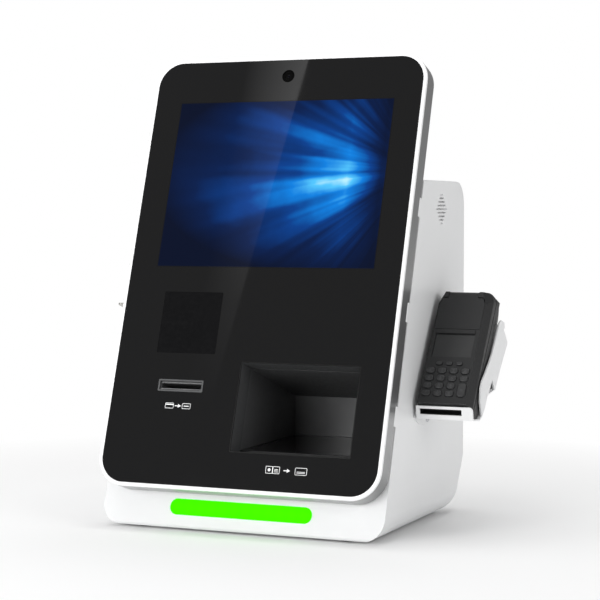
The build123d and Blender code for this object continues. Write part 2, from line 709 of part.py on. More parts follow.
top_bulge = 62.0
profile = [(0, 0), (term_length, 0), (168.5, -10), (172, -44), (165, -56), (158, -top_bulge),
           (149, -top_bulge), (147, -term_back), (30, -term_back), (24, -47.6), (10.3, -44.6), (0.8, -38.6),
           (-9, -21), (-10, -18.4), (0.6, -7.8)]
form = side_prism(outline(profile), -term_half, term_half)
section = outline([(-term_half, 1), (term_half, 1), (term_half, -40), (term_half - 3, -term_back),
                   (term_half - 6, -top_bulge - 1), (-term_half + 6, -top_bulge - 1),
                   (-term_half + 3, -term_back), (-term_half, -40)])
form &= Pos(0, 175, 0) * Rot(90, 0, 0) * extrude(section, 200)


def head_slice(depth, half, shoulder, high_half, high):
    """Front view of the terminal at one depth, its two upper corners cut."""
    return Pos(0, 0, -depth) * outline([(-half, -20), (half, -20), (half, shoulder), (high_half, high),
                                        (-high_half, high), (-half, shoulder)])


slices = [head_slice(0, term_face_half, 145, term_face_half - 6.4, term_length),
          head_slice(16.5, term_half, 158, term_half - 4.5, 171),
          head_slice(44, term_half, 172, term_half - 1, 173),
          head_slice(top_bulge + 2, term_half, 172, term_half - 1, 173)]
form &= loft(slices, ruled=True)
above = side_prism(outline([(-30, -part_line(-30)), (190, -part_line(190)), (190, 20), (-30, 20)]), -50, 50)
upper = form & above
lower = form - above
swipe = side_prism(outline([(-30, -part_line(-30) - 0.8), (190, -part_line(190) - 0.8),
                            (190, -part_line(190) + 0.8), (-30, -part_line(-30) + 0.8)]),
                   term_half - 7, term_half + 5)
upper -= swipe
lower -= swipe

roll_room = roll_r + roll_play
bay = block(-roll_w / 2 - roll_play, roll_w / 2 + roll_play, roll_up - roll_room, roll_up + roll_room,
            -roll_in - 4, 5)
bay += Pos(0, roll_up, -roll_in) * rod(roll_room, -roll_w / 2 - roll_play, roll_w / 2 + roll_play)
lid_gap = 0.4
lid_wing = 153.6             # the lid's side wings stop short of its hinge
lid_wing_play = 1.4
lid_room = term_outline(1 - lid_gap)
lid_cut = Pos(0, 0, -lid_t - 0.6) * extrude(lid_room, 20)
lid_ear = 20.0
lid_cut &= block(-50, 50, lid_low - lid_gap, lid_wing + lid_wing_play, -20, 20)
lid_cut += block(-lid_ear - lid_gap, lid_ear + lid_gap, lid_wing - 1, lid_high, -lid_t - 0.6, 5)
lid_cut += block(-lid_ear - lid_gap, lid_ear + lid_gap, lid_high - 2.4, term_length + 15, -lid_pin_in - 4, 5)
pin_hole = Pos(0, lid_pin_up, -lid_pin_in) * rod(lid_pin_r + 0.05, -24, 24)
screen_half = 25.8
screen_low = 66.5
screen_high = 99.5
screen_sink = 1.0
upper -= bay
lower -= bay
upper -= lid_cut
upper -= pin_hole
upper += block(-26, 26, 100.5, 105.5, -2, 1.2)
upper -= block(-screen_half - 0.2, screen_half + 0.2, screen_low - 0.2, screen_high + 0.2, -4, 5)

key_places = []
for row in range(4):
    for column in range(4):
        if column < 3 or row > 1:
            x = (column - 1.5) * key_pitch_x
            key_places.append((x, key_low_row + row * key_pitch_y, key_w, key_h, key_round * key_h))
tall = key_h + key_pitch_y
key_places.append((1.5 * key_pitch_x, key_low_row + key_pitch_y / 2, key_w, tall, key_round * key_h))
soft_places = [(step * soft_key_pitch, soft_key_up, soft_key_w, soft_key_h, key_round * soft_key_h)
               for step in (-1, 0, 1)]
for x, up, w, h, r in key_places + soft_places:
    upper -= slab(x - w / 2 - key_play, x + w / 2 + key_play, up - h / 2 - key_play, up + h / 2 + key_play,
                  -key_depth - key_travel - 0.4, 5, r + key_play)
chip_slot = Pos(lip_mid, lip_slot_up, -lip_slot_in) * Rot(45, 0, 0) * Box(lip_slot_w, lip_slot_h, 36)
upper -= chip_slot
lower -= chip_slot
save("terminal_upper_housing", on_term * upper)

save("terminal_lower_housing", on_term * lower)

screen = block(-screen_half, screen_half, screen_low, screen_high, -4, -screen_sink)
save("terminal_screen", on_term * screen)


def key_cap(w, h, r):
    """A key with a soft crowned top, standing proud of the housing's face."""
    cap = slab(-w / 2, w / 2, -h / 2, h / 2, -key_depth, key_proud, r)
    return fillet(cap.faces().sort_by(Axis.Z)[-1].edges(), 0.38 * r)


for number, (x, up, w, h, r) in enumerate(key_places, start=1):
    save(f"keypad_key_{number:02d}", on_term * Pos(x, up, 0) * key_cap(w, h, r))
for number, (x, up, w, h, r) in enumerate(soft_places, start=1):
    save(f"function_key_{number}", on_term * Pos(x, up, 0) * key_cap(w, h, r))

lid = Pos(0, 0, -lid_t) * extrude(term_outline(1), lid_t)
lid &= block(-50, 50, lid_low, lid_wing, -20, 20)
lid += block(-lid_ear, lid_ear, lid_wing - 1, lid_high, -lid_t, 0)
lid += block(-lid_ear, lid_ear, lid_high - 2, lid_pin_up, -lid_pin_in - 1, -lid_pin_in + 2.4)
lid += Pos(0, lid_pin_up, -lid_pin_in) * rod(lid_barrel_r, -lid_ear, lid_ear)
lid += Pos(0, lid_pin_up, -lid_pin_in) * rod(lid_pin_r, -lid_ear - 3, lid_ear + 3)
save("printer_lid", on_term * lid)

roll = rod(roll_r, -roll_w / 2, roll_w / 2) - rod(6.5, -roll_w, roll_w)
save("paper_roll", on_term * Pos(0, roll_up, -roll_in) * roll)

# ---- Bracket: one folded sheet with a lip, a tray, two cheeks and a boxed arm behind
lip_line = [(-1.5, 6.5), (-13.5, 18.5)]
tray_line = [(-10.2, 24.5), (-1.5, 40.9), (9.1, 48.5), (22.7, 52)]
tray_back = 52.0
tray_top = 138.0
arm_low = 42.0
cheek_front = [(8.2, 45.6), (12.5, 39.9), (20.1, 30), (35, 22.8), (44.9, 22.9), (61.7, 29.6), (93.2, 39.6),
               (111.5, 42.1), (133.3, 44.1), (144.7, 44.6)]
hook = [(150.8, 49.7), (155, 62.4), (151.4, 67.7), (145.9, 66), (145, 74.9)]
arm_rear = [(140.3, 90.3), (99.6, 82.2), (63.3, 77.1)]
arm = [(arm_low, tray_back)] + arm_rear[::-1] + [(145.9, 66), (144.7, tray_back)]


def profile_in(points):
    """Side view points given as (up, in), turned to (up, out)."""
    return outline([(up, -into) for up, into in points])


def bent_sheet(points):
    """Side view of a bent sheet: its outer line and a second one inside it, each bend mitred."""
    line = [Vector(up, -into) for up, into in points]
    runs = [(after - before).normalized() for before, after in zip(line, line[1:])]
    inner = []
    for here, before, after in zip(line, runs[:1] + runs, runs + runs[-1:]):
        across = Vector(-before.Y - after.Y, before.X + after.X)
        inner.append(here + across * (sheet_t / (1 + before.dot(after))))
    return outline([(point.X, point.Y) for point in line + inner[::-1]])


inner_x = cheek_x - sheet_t
lip = side_prism(bent_sheet(lip_line + tray_line[:3]), lip_left, cheek_x)
lip_ends = lip.edges().filter_by(lambda edge: abs(edge.length - sheet_t) < 0.01)
lip_corner = lip_ends.sort_by_distance((cheek_x, lip_line[0][0], -lip_line[0][1]))[0]
lip = fillet(lip_corner, lip_round)
cheek_side = cheek_front + hook + arm_rear + [(arm_low, 53.3)] + tray_line[:1:-1]
flange_side = [lip_line[1], (20, 24), (93.2, 39.6), (144.7, 44.6), (145.9, 66)] + arm_rear + [
    (50, 70), (0, 62), (-10, 40)]
tray_run = [tray_line[2], tray_line[3], (tray_top, tray_back)]
arm_face = profile_in([(40, tray_back - sheet_t)] + arm + [(144.7, tray_back - sheet_t)])
arm_room = offset(profile_in(arm), -sheet_t)
bracket = lip + side_prism(bent_sheet(tray_run), lip_left, inner_x)
for up in (24, 96):
    bracket += block(-24, 24, up - 8, up + 8, -tray_back, -term_back)
bracket += side_prism(arm_face, flange_x, inner_x)
bracket -= side_prism(arm_room, flange_x + sheet_t, inner_x)
bracket += side_prism(profile_in(cheek_side), inner_x, cheek_x)
bracket += side_prism(profile_in(flange_side), flange_x, flange_x + sheet_t)
bracket += side_prism(bent_sheet(tray_line[1:3] + tray_run[1:]), flange_x, lip_left)
bracket -= Pos(lip_mid, lip_slot_up, -lip_slot_in) * (
    Rot(45, 0, 0) * Box(lip_slot_w, lip_slot_h, 8))
bracket -= side_prism(profile_in([(67.8, 59.2), (62, 74), (46, 55.4)]), inner_x - 1, cheek_x + 1)
for up, into in bracket_screw_points:
    bracket -= Pos(flange_x, up, -into) * rod(screw_r + screw_clear, -5, 6)
bracket -= Pos(flange_x, cable_hole[0], -cable_hole[1]) * rod(cable_hole_r, -5, 6)
save("terminal_bracket", on_term * bracket)
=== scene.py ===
import json
from math import cos, pi, radians, sin

import bmesh
import bpy
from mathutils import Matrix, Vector


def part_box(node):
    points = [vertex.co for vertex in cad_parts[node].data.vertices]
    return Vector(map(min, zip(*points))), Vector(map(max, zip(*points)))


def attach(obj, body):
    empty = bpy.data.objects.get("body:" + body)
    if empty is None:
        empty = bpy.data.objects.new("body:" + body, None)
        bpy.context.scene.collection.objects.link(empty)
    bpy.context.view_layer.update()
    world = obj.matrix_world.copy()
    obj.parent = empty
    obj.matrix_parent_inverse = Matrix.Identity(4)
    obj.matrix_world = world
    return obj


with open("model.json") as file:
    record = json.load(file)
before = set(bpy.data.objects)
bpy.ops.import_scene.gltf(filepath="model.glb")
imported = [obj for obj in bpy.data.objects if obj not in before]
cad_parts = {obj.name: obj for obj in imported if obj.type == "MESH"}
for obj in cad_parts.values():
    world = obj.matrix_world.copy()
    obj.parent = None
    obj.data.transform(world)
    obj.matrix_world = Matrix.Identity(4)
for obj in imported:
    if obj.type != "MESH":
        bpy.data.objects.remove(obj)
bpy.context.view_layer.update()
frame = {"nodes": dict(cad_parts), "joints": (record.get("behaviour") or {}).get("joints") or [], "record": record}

bl_info = {
    "name": "Self checkout kiosk",
    "version": (1, 0, 0),
    "blender": (4, 5, 0),
    "location": "View3D > Sidebar > Kiosk",
    "description": "Finishes, small detail and studio for a counter-top self checkout kiosk",
    "category": "Object",
}

MM = 0.001


class Slope:
    """A leaning front: x across, up along the slope, out from its face. Sizes in metres."""

    def __init__(self, up, face_node, foot_node):
        self.up = Vector(up).normalized()
        self.out = Vector((0, -self.up.z, self.up.y))
        self.face = self.reach(face_node)[1][2]
        self.foot = self.reach(foot_node)[0][1]

    def reach(self, node):
        """Lowest and highest (x, up, out) of a CAD node, counted from the origin."""
        points = [v.co for v in frame["nodes"][node].data.vertices]
        rows = [(p.x, p.dot(self.up), p.dot(self.out)) for p in points]
        return [min(column) for column in zip(*rows)], [max(column) for column in zip(*rows)]

    def span(self, node):
        """Lowest and highest (x, up, out) of a CAD node, counted from the foot and the face."""
        low, high = self.reach(node)
        return ((low[0], low[1] - self.foot, low[2] - self.face),
                (high[0], high[1] - self.foot, high[2] - self.face))

    def place(self, x, up, out=0.0):
        """A point on the slope, in the row frame."""
        return Vector((x, 0, 0)) + self.up * (up + self.foot) + self.out * (out + self.face)


def joint(name):
    """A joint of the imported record, by name."""
    return next(j for j in frame["joints"] if j["name"] == name)


DOOR = Slope(joint("door_swing")["axis"], "front_glass", "door_rim")
press = Vector(joint("keypad_key_01_press")["axis"])
TERMINAL = Slope(Vector((1, 0, 0)).cross(press), "terminal_lower_housing", "terminal_lower_housing")
TERMINAL.face = TERMINAL.reach("printer_lid")[1][2]


# ------------------------------------------------------------------ settings

class KioskFinish(bpy.types.PropertyGroup):
    """Colours and surface qualities."""
    shell: bpy.props.FloatVectorProperty(
        name="Body paint", description="Powder coat of the body and bracket", subtype="COLOR",
        size=3, default=(0.82, 0.825, 0.83), min=0, max=1)
    rim: bpy.props.FloatVectorProperty(
        name="Rim paint", description="White ring round the glass", subtype="COLOR",
        size=3, default=(0.93, 0.93, 0.935), min=0, max=1)
    silver: bpy.props.FloatVectorProperty(
        name="Door edge", description="Silver paint on the door's side", subtype="COLOR",
        size=3, default=(0.29, 0.292, 0.295), min=0, max=1)
    glass: bpy.props.FloatVectorProperty(
        name="Glass print", description="Black print behind the front glass", subtype="COLOR",
        size=3, default=(0.0035, 0.0035, 0.0038), min=0, max=1)
    light: bpy.props.FloatVectorProperty(
        name="Light bar", description="Colour of the lit bar", subtype="COLOR",
        size=3, default=(0.055, 1.0, 0.0), min=0, max=1)
    light_power: bpy.props.FloatProperty(
        name="Light bar power", description="Emission of the lit bar", default=1.35, min=0)
    terminal: bpy.props.FloatVectorProperty(
        name="Terminal plastic", description="Charcoal plastic of the payment terminal", subtype="COLOR",
        size=3, default=(0.0105, 0.0108, 0.0114), min=0, max=1)
    screen_power: bpy.props.FloatProperty(
        name="Screen power", description="Emission of the lit screen", default=1.0, min=0)


class KioskStage(bpy.types.PropertyGroup):
    """Camera, lights and floor."""
    azimuth: bpy.props.FloatProperty(
        name="Camera azimuth", description="Round the kiosk from its front towards its right side",
        subtype="ANGLE", default=radians(23.252))
    elevation: bpy.props.FloatProperty(
        name="Camera elevation", description="Above the horizon", subtype="ANGLE", default=radians(2.80))
    distance: bpy.props.FloatProperty(
        name="Camera distance", description="From the aim point", unit="LENGTH", default=2.2092, min=0.1)
    aim: bpy.props.FloatVectorProperty(
        name="Aim point", description="What the camera looks at", subtype="TRANSLATION", size=3,
        default=(0.0916, -0.150, 0.29705))
    lens: bpy.props.FloatProperty(
        name="Lens", description="Focal length on a 36 mm sensor", unit="CAMERA", default=109.2, min=10)
    ambient: bpy.props.FloatProperty(
        name="Ambient", description="Even light from all round", default=0.30, min=0)
    top_power: bpy.props.FloatProperty(
        name="Top light", description="Soft light above", unit="POWER", default=34, min=0)
    side_power: bpy.props.FloatProperty(
        name="Side light", description="Soft light from the front left", unit="POWER", default=9, min=0)
    fill_power: bpy.props.FloatProperty(
        name="Fill light", description="Soft light from the right", unit="POWER", default=15, min=0)
    front_power: bpy.props.FloatProperty(
        name="Front light", description="Low soft light in front", unit="POWER", default=28, min=0)
    glare_power: bpy.props.FloatProperty(
        name="Reflected panel", description="Bright panel mirrored in the glass", default=1.5, min=0)


def finish_settings():
    return bpy.context.scene.kiosk_finish


def stage_settings():
    return bpy.context.scene.kiosk_stage


# ------------------------------------------------------------------ materials

class Finish:
    """A material under construction: its tree, its main shader and its object coordinates."""

    def __init__(self, name):
        self.material = bpy.data.materials.new(name)
        self.material.use_nodes = True
        self.tree = self.material.node_tree
        self.shader = self.tree.nodes["Principled BSDF"]
        self.coordinates = self.node("ShaderNodeTexCoord").outputs["Object"]

    def node(self, kind, **values):
        made = self.tree.nodes.new(kind)
        for key, value in values.items():
            setattr(made, key, value)
        return made

    def link(self, source, target):
        self.tree.links.new(source, target)

    def put(self, value, socket):
        """Links an output into an input, or sets the input to a plain value."""
        if isinstance(value, bpy.types.NodeSocket):
            self.link(value, socket)
        else:
            socket.default_value = value

    def feed(self, made, **values):
        """Sets or links a node's inputs by name, with _ for a space."""
        for key, value in values.items():
            self.put(value, made.inputs[key.replace("_", " ")])
        return made

    def noise(self, scale, detail=3.0, roughness=0.5, coordinates=None):
        made = self.node("ShaderNodeTexNoise")
        self.feed(made, Vector=coordinates or self.coordinates, Scale=scale, Detail=detail,
                  Roughness=roughness)
        return made.outputs["Fac"]

    def ramp(self, fac, stops):
        """Maps a value through (position, colour) stops."""
        made = self.node("ShaderNodeValToRGB")
        ramp = made.color_ramp
        while len(ramp.elements) < len(stops):
            ramp.elements.new(1.0)
        for element, (position, colour) in zip(ramp.elements, stops):
            element.position = position
            element.color = (*colour, 1.0) if len(colour) == 3 else colour
        self.link(fac, made.inputs["Fac"])
        return made.outputs["Color"]

    def remap(self, fac, low, high, start=0.0, end=1.0):
        """Stretches a value's range from start to end onto low to high."""
        made = self.node("ShaderNodeMapRange")
        self.feed(made, Value=fac, From_Min=start, From_Max=end, To_Min=low, To_Max=high)
        return made.outputs["Result"]

    def maths(self, operation, a, b):
        """One step of arithmetic on two outputs or plain values."""
        made = self.node("ShaderNodeMath", operation=operation)
        for socket, value in zip(made.inputs, (a, b)):
            self.put(value, socket)
        return made.outputs["Value"]

    def mottle(self, colour, amount, scale):
        """A base colour that drifts a little over the surface."""
        low = [c * (1 - amount) for c in colour]
        high = [min(1, c * (1 + amount)) for c in colour]
        drift = self.ramp(self.noise(scale, 4), [(0.3, low), (0.7, high)])
        self.link(drift, self.shader.inputs["Base Color"])

    def rough(self, low, high, scale):
        """Gloss that wanders between two values."""
        self.link(self.remap(self.noise(scale, 3), low, high, 0.3, 0.7), self.shader.inputs["Roughness"])

    def bump(self, height, strength, distance):
        made = self.node("ShaderNodeBump")
        self.feed(made, Height=height, Strength=strength, Distance=distance)
        self.link(made.outputs["Normal"], self.shader.inputs["Normal"])

    def stretched(self, scale):
        """Object coordinates squeezed by a scale along each axis."""
        made = self.node("ShaderNodeMapping")
        self.feed(made, Vector=self.coordinates, Scale=scale)
        return made.outputs["Vector"]

    def set(self, **values):
        self.feed(self.shader, **values)
        return self


def powder_coat(name, colour, gloss=0.38):
    """Sprayed and baked paint: a fine orange peel over folded sheet."""
    f = Finish(name)
    f.mottle(colour, 0.012, 9)
    f.rough(gloss - 0.04, gloss + 0.06, 120)
    f.bump(f.noise(1500, 2), 0.10, 0.0002)
    f.set(Specular_IOR_Level=0.45)
    return f.material


def silver_paint(name, colour):
    """Metallic silver paint with a fine flake."""
    f = Finish(name)
    f.mottle(colour, 0.04, 2400)
    f.rough(0.30, 0.38, 60)
    f.bump(f.noise(2600, 2), 0.06, 0.0001)
    f.set(Metallic=0.75, Coat_Weight=0.35, Coat_Roughness=0.12)
    return f.material


def moulded_plastic(name, colour, gloss=0.5, grain=1100, depth=0.12, shine=0.5):
    """Injection-moulded plastic with a spark-eroded texture."""
    f = Finish(name)
    f.mottle(colour, 0.10, 35)
    f.rough(gloss - 0.06, gloss + 0.06, 220)
    f.bump(f.noise(grain, 4, 0.6), depth, 0.0002)
    f.set(Specular_IOR_Level=shine)
    return f.material


def edged_plastic(name, edge, inside):
    """Plastic that is darker where it comes level with the door's face."""
    f = Finish(name)
    depth = f.node("ShaderNodeVectorMath", operation="DOT_PRODUCT")
    f.put(f.coordinates, depth.inputs[0])
    f.put(DOOR.out, depth.inputs[1])
    edge_end = DOOR.face - 0.8 * MM
    inside_start = DOOR.face - 1.6 * MM
    level = f.remap(depth.outputs["Value"], 1.0, 0.0, inside_start, edge_end)
    f.link(f.ramp(level, [(0.0, edge), (1.0, inside)]), f.shader.inputs["Base Color"])
    f.rough(0.34, 0.44, 220)
    f.bump(f.noise(1100, 4, 0.6), 0.06, 0.0002)
    f.set(Specular_IOR_Level=0.15)
    return f.material


def brushed(name, colour, gloss=0.3, along=(1, 40, 40)):
    """Rolled or brushed sheet metal with a fine directional grain."""
    f = Finish(name)
    grain = f.noise(60, 5, 0.6, f.stretched(along))
    low = [c * 0.9 for c in colour]
    f.link(f.ramp(grain, [(0.35, low), (0.65, colour)]), f.shader.inputs["Base Color"])
    f.link(f.remap(grain, gloss - 0.08, gloss + 0.1, 0.3, 0.7), f.shader.inputs["Roughness"])
    f.bump(grain, 0.08, 0.0001)
    f.set(Metallic=1.0)
    return f.material


def rubber(name, colour):
    """Matt moulded rubber with a dusty bloom."""
    f = Finish(name)
    f.mottle(colour, 0.2, 90)
    f.rough(0.7, 0.85, 300)
    f.bump(f.noise(1800, 3), 0.2, 0.0002)
    return f.material


def printed_glass(name, colour):
    """Polished glass with black print behind it and the faintest wiping marks."""
    f = Finish(name)
    f.mottle(colour, 0.06, 3)
    f.link(f.remap(f.noise(22, 6, 0.65, f.stretched((1, 2.5, 1))), 0.015, 0.045, 0.35, 0.75),
           f.shader.inputs["Roughness"])
    f.set(IOR=1.5, Specular_IOR_Level=0.5)
    return f.material


def lit_diffuser(name, colour, power):
    """Translucent bar, brightest along its middle, with the lamps behind it just showing."""
    f = Finish(name)
    lamps = f.node("ShaderNodeTexWave", wave_type="BANDS", bands_direction="X", wave_profile="SIN")
    f.feed(lamps, Vector=f.coordinates, Scale=20.0, Distortion=0.0)
    level = f.remap(lamps.outputs["Fac"], 0.95, 1.02)
    low, high = DOOR.span("light_bar")
    middle = DOOR.place(0, (low[1] + high[1]) / 2, high[2])
    split = f.node("ShaderNodeSeparateXYZ")
    f.link(f.coordinates, split.inputs["Vector"])
    across = f.maths("ABSOLUTE", f.maths("SUBTRACT", split.outputs["Z"], middle.z), 0)
    glow = f.remap(across, 1.0, 0.82, 0.0, (high[1] - low[1]) / 2)
    tint = f.ramp(f.maths("MULTIPLY", level, glow), [(0.75, [c * 0.8 for c in colour]), (1.0, colour)])
    f.link(tint, f.shader.inputs["Emission Color"])
    f.set(Emission_Strength=power, Base_Color=(0.0, 0.001, 0.0, 1), Roughness=0.6, Specular_IOR_Level=0.0)
    return f.material


def screen_glow(name, power):
    """A lit screen: deep blue with a soft drifting glow, in the piece's own UV map."""
    f = Finish(name)
    uv = f.node("ShaderNodeUVMap", uv_map="sheet").outputs["UV"]
    split = f.node("ShaderNodeSeparateXYZ")
    f.link(uv, split.inputs["Vector"])
    x, y = split.outputs["X"], split.outputs["Y"]
    right = f.maths("SUBTRACT", 0.82, x)
    above = f.maths("MULTIPLY", f.maths("SUBTRACT", y, 0.43), 1.2)
    wide = f.maths("MULTIPLY", right, 0.62)
    square = f.maths("ADD", f.maths("MULTIPLY", wide, wide), f.maths("MULTIPLY", above, above))
    away = f.maths("SQRT", square, 0)
    halo = f.remap(away, 1.0, 0.0, 0.0, 0.56)
    spread = f.maths("DIVIDE", above, f.maths("SUBTRACT", 1.14, x))
    fan = f.node("ShaderNodeCombineXYZ")
    f.feed(fan, X=f.maths("MULTIPLY", spread, 2.6), Y=f.maths("MULTIPLY", x, 0.35))
    beams = f.remap(f.noise(1.5, 2, 0.5, fan.outputs["Vector"]), 0.42, 1.0, 0.38, 0.62)
    haze = f.remap(f.noise(3.5, 4, 0.55, uv), 0.80, 1.12, 0.3, 0.7)
    core = f.remap(away, 1.0, 0.0, 0.01, 0.13)
    edge = f.remap(x, 1.0, 0.12, 0.83, 0.98)
    glow = f.maths("MULTIPLY", f.maths("MULTIPLY", halo, edge), f.maths("MULTIPLY", beams, haze))
    light = f.maths("ADD", glow, f.maths("MULTIPLY", core, 0.32))
    colour = f.ramp(light, [(0.0, (0.0004, 0.003, 0.018)), (0.16, (0.0006, 0.012, 0.072)),
                            (0.38, (0.001, 0.050, 0.27)), (0.64, (0.003, 0.22, 0.76)),
                            (0.88, (0.09, 0.58, 1.0)), (1.0, (0.50, 0.88, 1.0))])
    f.link(colour, f.shader.inputs["Emission Color"])
    f.set(Emission_Strength=power, Base_Color=(0.001, 0.0015, 0.003, 1), IOR=1.5, Specular_IOR_Level=0.16)
    f.link(f.remap(f.noise(30, 4), 0.015, 0.04, 0.35, 0.75), f.shader.inputs["Roughness"])
    return f.material


def stacked_cards(name, colour):
    """The edges of many thin cards, laid along the slope."""
    f = Finish(name)
    lean = Vector((0, 0, 1)).angle(DOOR.up)
    turned = f.node("ShaderNodeMapping")
    f.feed(turned, Vector=f.coordinates, Rotation=(-lean, 0, 0))
    layers = f.node("ShaderNodeTexWave", wave_type="BANDS", bands_direction="Z", wave_profile="SAW")
    f.feed(layers, Vector=turned.outputs["Vector"], Scale=420.0)
    f.link(f.ramp(layers.outputs["Fac"], [(0.0, [c * 0.55 for c in colour]), (0.25, colour)]),
           f.shader.inputs["Base Color"])
    f.bump(layers.outputs["Fac"], 0.3, 0.0002)
    f.set(Roughness=0.35)
    return f.material


def paper(name, colour):
    """A wound roll of thermal paper, with rings on its ends."""
    f = Finish(name)
    pos = Vector(joint("paper_spin")["pos_m"])
    centred = f.node("ShaderNodeMapping")
    f.feed(centred, Vector=f.coordinates, Location=(-pos.x, -pos.y, -pos.z))
    rings = f.node("ShaderNodeTexWave", wave_type="RINGS", rings_direction="X", wave_profile="SIN")
    f.feed(rings, Vector=centred.outputs["Vector"], Scale=600.0)
    f.link(f.ramp(rings.outputs["Fac"], [(0.0, [c * 0.86 for c in colour]), (0.5, colour)]),
           f.shader.inputs["Base Color"])
    f.rough(0.75, 0.85, 80)
    f.bump(rings.outputs["Fac"], 0.2, 0.0001)
    return f.material


def ink(name, colour, gloss=0.4, power=0.0):
    """Screen-printed ink with slightly uneven coverage. A power above nought adds painted brightness: the ink
    glows though it is no lamp.
    """
    f = Finish(name)
    f.mottle(colour, 0.05, 900)
    f.rough(gloss - 0.05, gloss + 0.05, 500)
    # Painted brightness: the emission makes the printed ink glow, though ink gives off no light.
    if power:
        f.set(Emission_Color=(*colour, 1), Emission_Strength=power)
    return f.material


MATERIALS = {}
OWN_FINISH = {"reader_window": "filter_glass", "card_bezel": "bezel_plastic",
              "passport_surround": "surround_plastic", "camera_module": "camera_black",
              "speakers": "speaker_cloth"}


def make_materials():
    """One finish for each of the record's slots, and a few for the small pieces."""
    s = finish_settings()
    shell = tuple(s.shell)
    rim = tuple(s.rim)
    made = {
        "shell_paint": powder_coat("body_powder_coat", shell),
        "bracket_paint": powder_coat("bracket_powder_coat", tuple(c * 1.02 for c in shell), 0.42),
        "rim_paint": powder_coat("rim_white_paint", rim, 0.30),
        "inner_steel": brushed("zinc_plated_sheet", (0.55, 0.56, 0.57), 0.38),
        "rubber": rubber("foot_rubber", (0.03, 0.03, 0.03)),
        "screw_steel": brushed("zinc_plated_screw", (0.6, 0.6, 0.62), 0.3, (20, 20, 20)),
        "dark_plastic": moulded_plastic("black_textured_plastic", (0.018, 0.018, 0.02), 0.45),
        "power_case": brushed("folded_aluminium_case", (0.6, 0.61, 0.62), 0.35, (40, 1, 40)),
        "hood_plastic": moulded_plastic("satin_black_hood", (0.075, 0.076, 0.078), 0.34, 900, 0.06),
        "bezel_plastic": moulded_plastic("card_bezel_plastic", (0.06, 0.061, 0.063), 0.42, 1100, 0.06),
        "surround_plastic": edged_plastic(
            "bay_surround_plastic", (0.004, 0.004, 0.004), (0.065, 0.066, 0.068)),
        # Lighter grey than the bezel: a painted highlight standing in for the lit edges inside the card slot.
        "lip_plastic": moulded_plastic("card_lip_plastic_painted_highlight", (0.16, 0.162, 0.165), 0.40, 1100, 0.05),
        "camera_black": moulded_plastic("camera_matt_black", (0.001, 0.001, 0.001), 0.6, 900, 0.05, 0.05),
        "speaker_cloth": moulded_plastic("speaker_cloth_grey", (0.80, 0.80, 0.80), 0.8, 700, 0.3),
        "filter_glass": moulded_plastic(
            "reader_filter_acrylic", (0.0045, 0.0045, 0.005), 0.16, 2200, 0.0, 0.12),
        "scanner_case": moulded_plastic("scanner_black_plastic", (0.012, 0.012, 0.013), 0.35, 900, 0.08),
        "platen_glass": printed_glass("platen_filter_glass", (0.010, 0.009, 0.010)),
        "light": lit_diffuser("lit_bar_diffuser", tuple(s.light), s.light_power),
        "roller_rubber": rubber("feed_roller_rubber", (0.06, 0.06, 0.065)),
        "card_stock": stacked_cards("blank_card_edges", (0.85, 0.86, 0.88)),
        "weight_steel": brushed("ground_steel", (0.42, 0.42, 0.44), 0.28, (40, 1, 1)),
        "lock_chrome": brushed("polished_lock_nickel", (0.66, 0.66, 0.67), 0.16, (30, 30, 30)),
        "key_steel": brushed("key_nickel", (0.5, 0.49, 0.46), 0.25, (1, 30, 30)),
        "door_silver": silver_paint("door_silver_paint", tuple(s.silver)),
        "black_glass": printed_glass("black_printed_glass", tuple(s.glass)),
        "display": printed_glass("display_module_black", (0.004, 0.004, 0.005)),
        "terminal_case": moulded_plastic(
            "terminal_charcoal_plastic", tuple(s.terminal), 0.46, 1300, 0.08, 0.38),
        "terminal_lens": moulded_plastic("terminal_display_lens", (0.013, 0.0135, 0.014), 0.34, 2200, 0.01),
        "paper": paper("thermal_paper", (0.88, 0.88, 0.86)),
        "key_plastic": moulded_plastic(
            "soft_key_plastic", tuple(c * 1.35 for c in s.terminal), 0.40, 1500, 0.05),
        "screen": screen_glow("lit_screen_picture", s.screen_power),
        # The white pictogram ink gets a faint painted glow, brighter than lit ink would be.
        "label_ink": ink("white_label_ink_painted_glow", (0.85, 0.85, 0.85), 0.4, 0.25),
        "legend_ink": ink("grey_key_legend_ink", (0.05, 0.051, 0.053)),
        "lens_glass": moulded_plastic("camera_lens_coating", (0.001, 0.001, 0.003), 0.12, 900, 0.0, 0.12),
        "grille_wire": brushed("black_painted_wire", (0.03, 0.03, 0.032), 0.4, (20, 20, 20)),
    }
    MATERIALS.update(made)


# ------------------------------------------------------------------ mesh helpers

def new_piece(name, mesh, material, body):
    """Links a finished mesh as a piece that rides on a body."""
    piece = bpy.data.objects.new(name, mesh)
    bpy.context.scene.collection.objects.link(piece)
    mesh.materials.clear()
    mesh.materials.append(MATERIALS[material])
    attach(piece, body)
    return piece


def rounded_outline(x0, x1, y0, y1, r, steps=6):
    """Corner points of a rounded rectangle, anticlockwise."""
    corners = ((x1 - r, y1 - r, 0), (x0 + r, y1 - r, 90), (x0 + r, y0 + r, 180), (x1 - r, y0 + r, 270))
    points = []
    for cx, cy, start in corners:
        for step in range(steps + 1):
            a = radians(start + 90 * step / steps)
            points.append((cx + r * cos(a), cy + r * sin(a)))
    return points


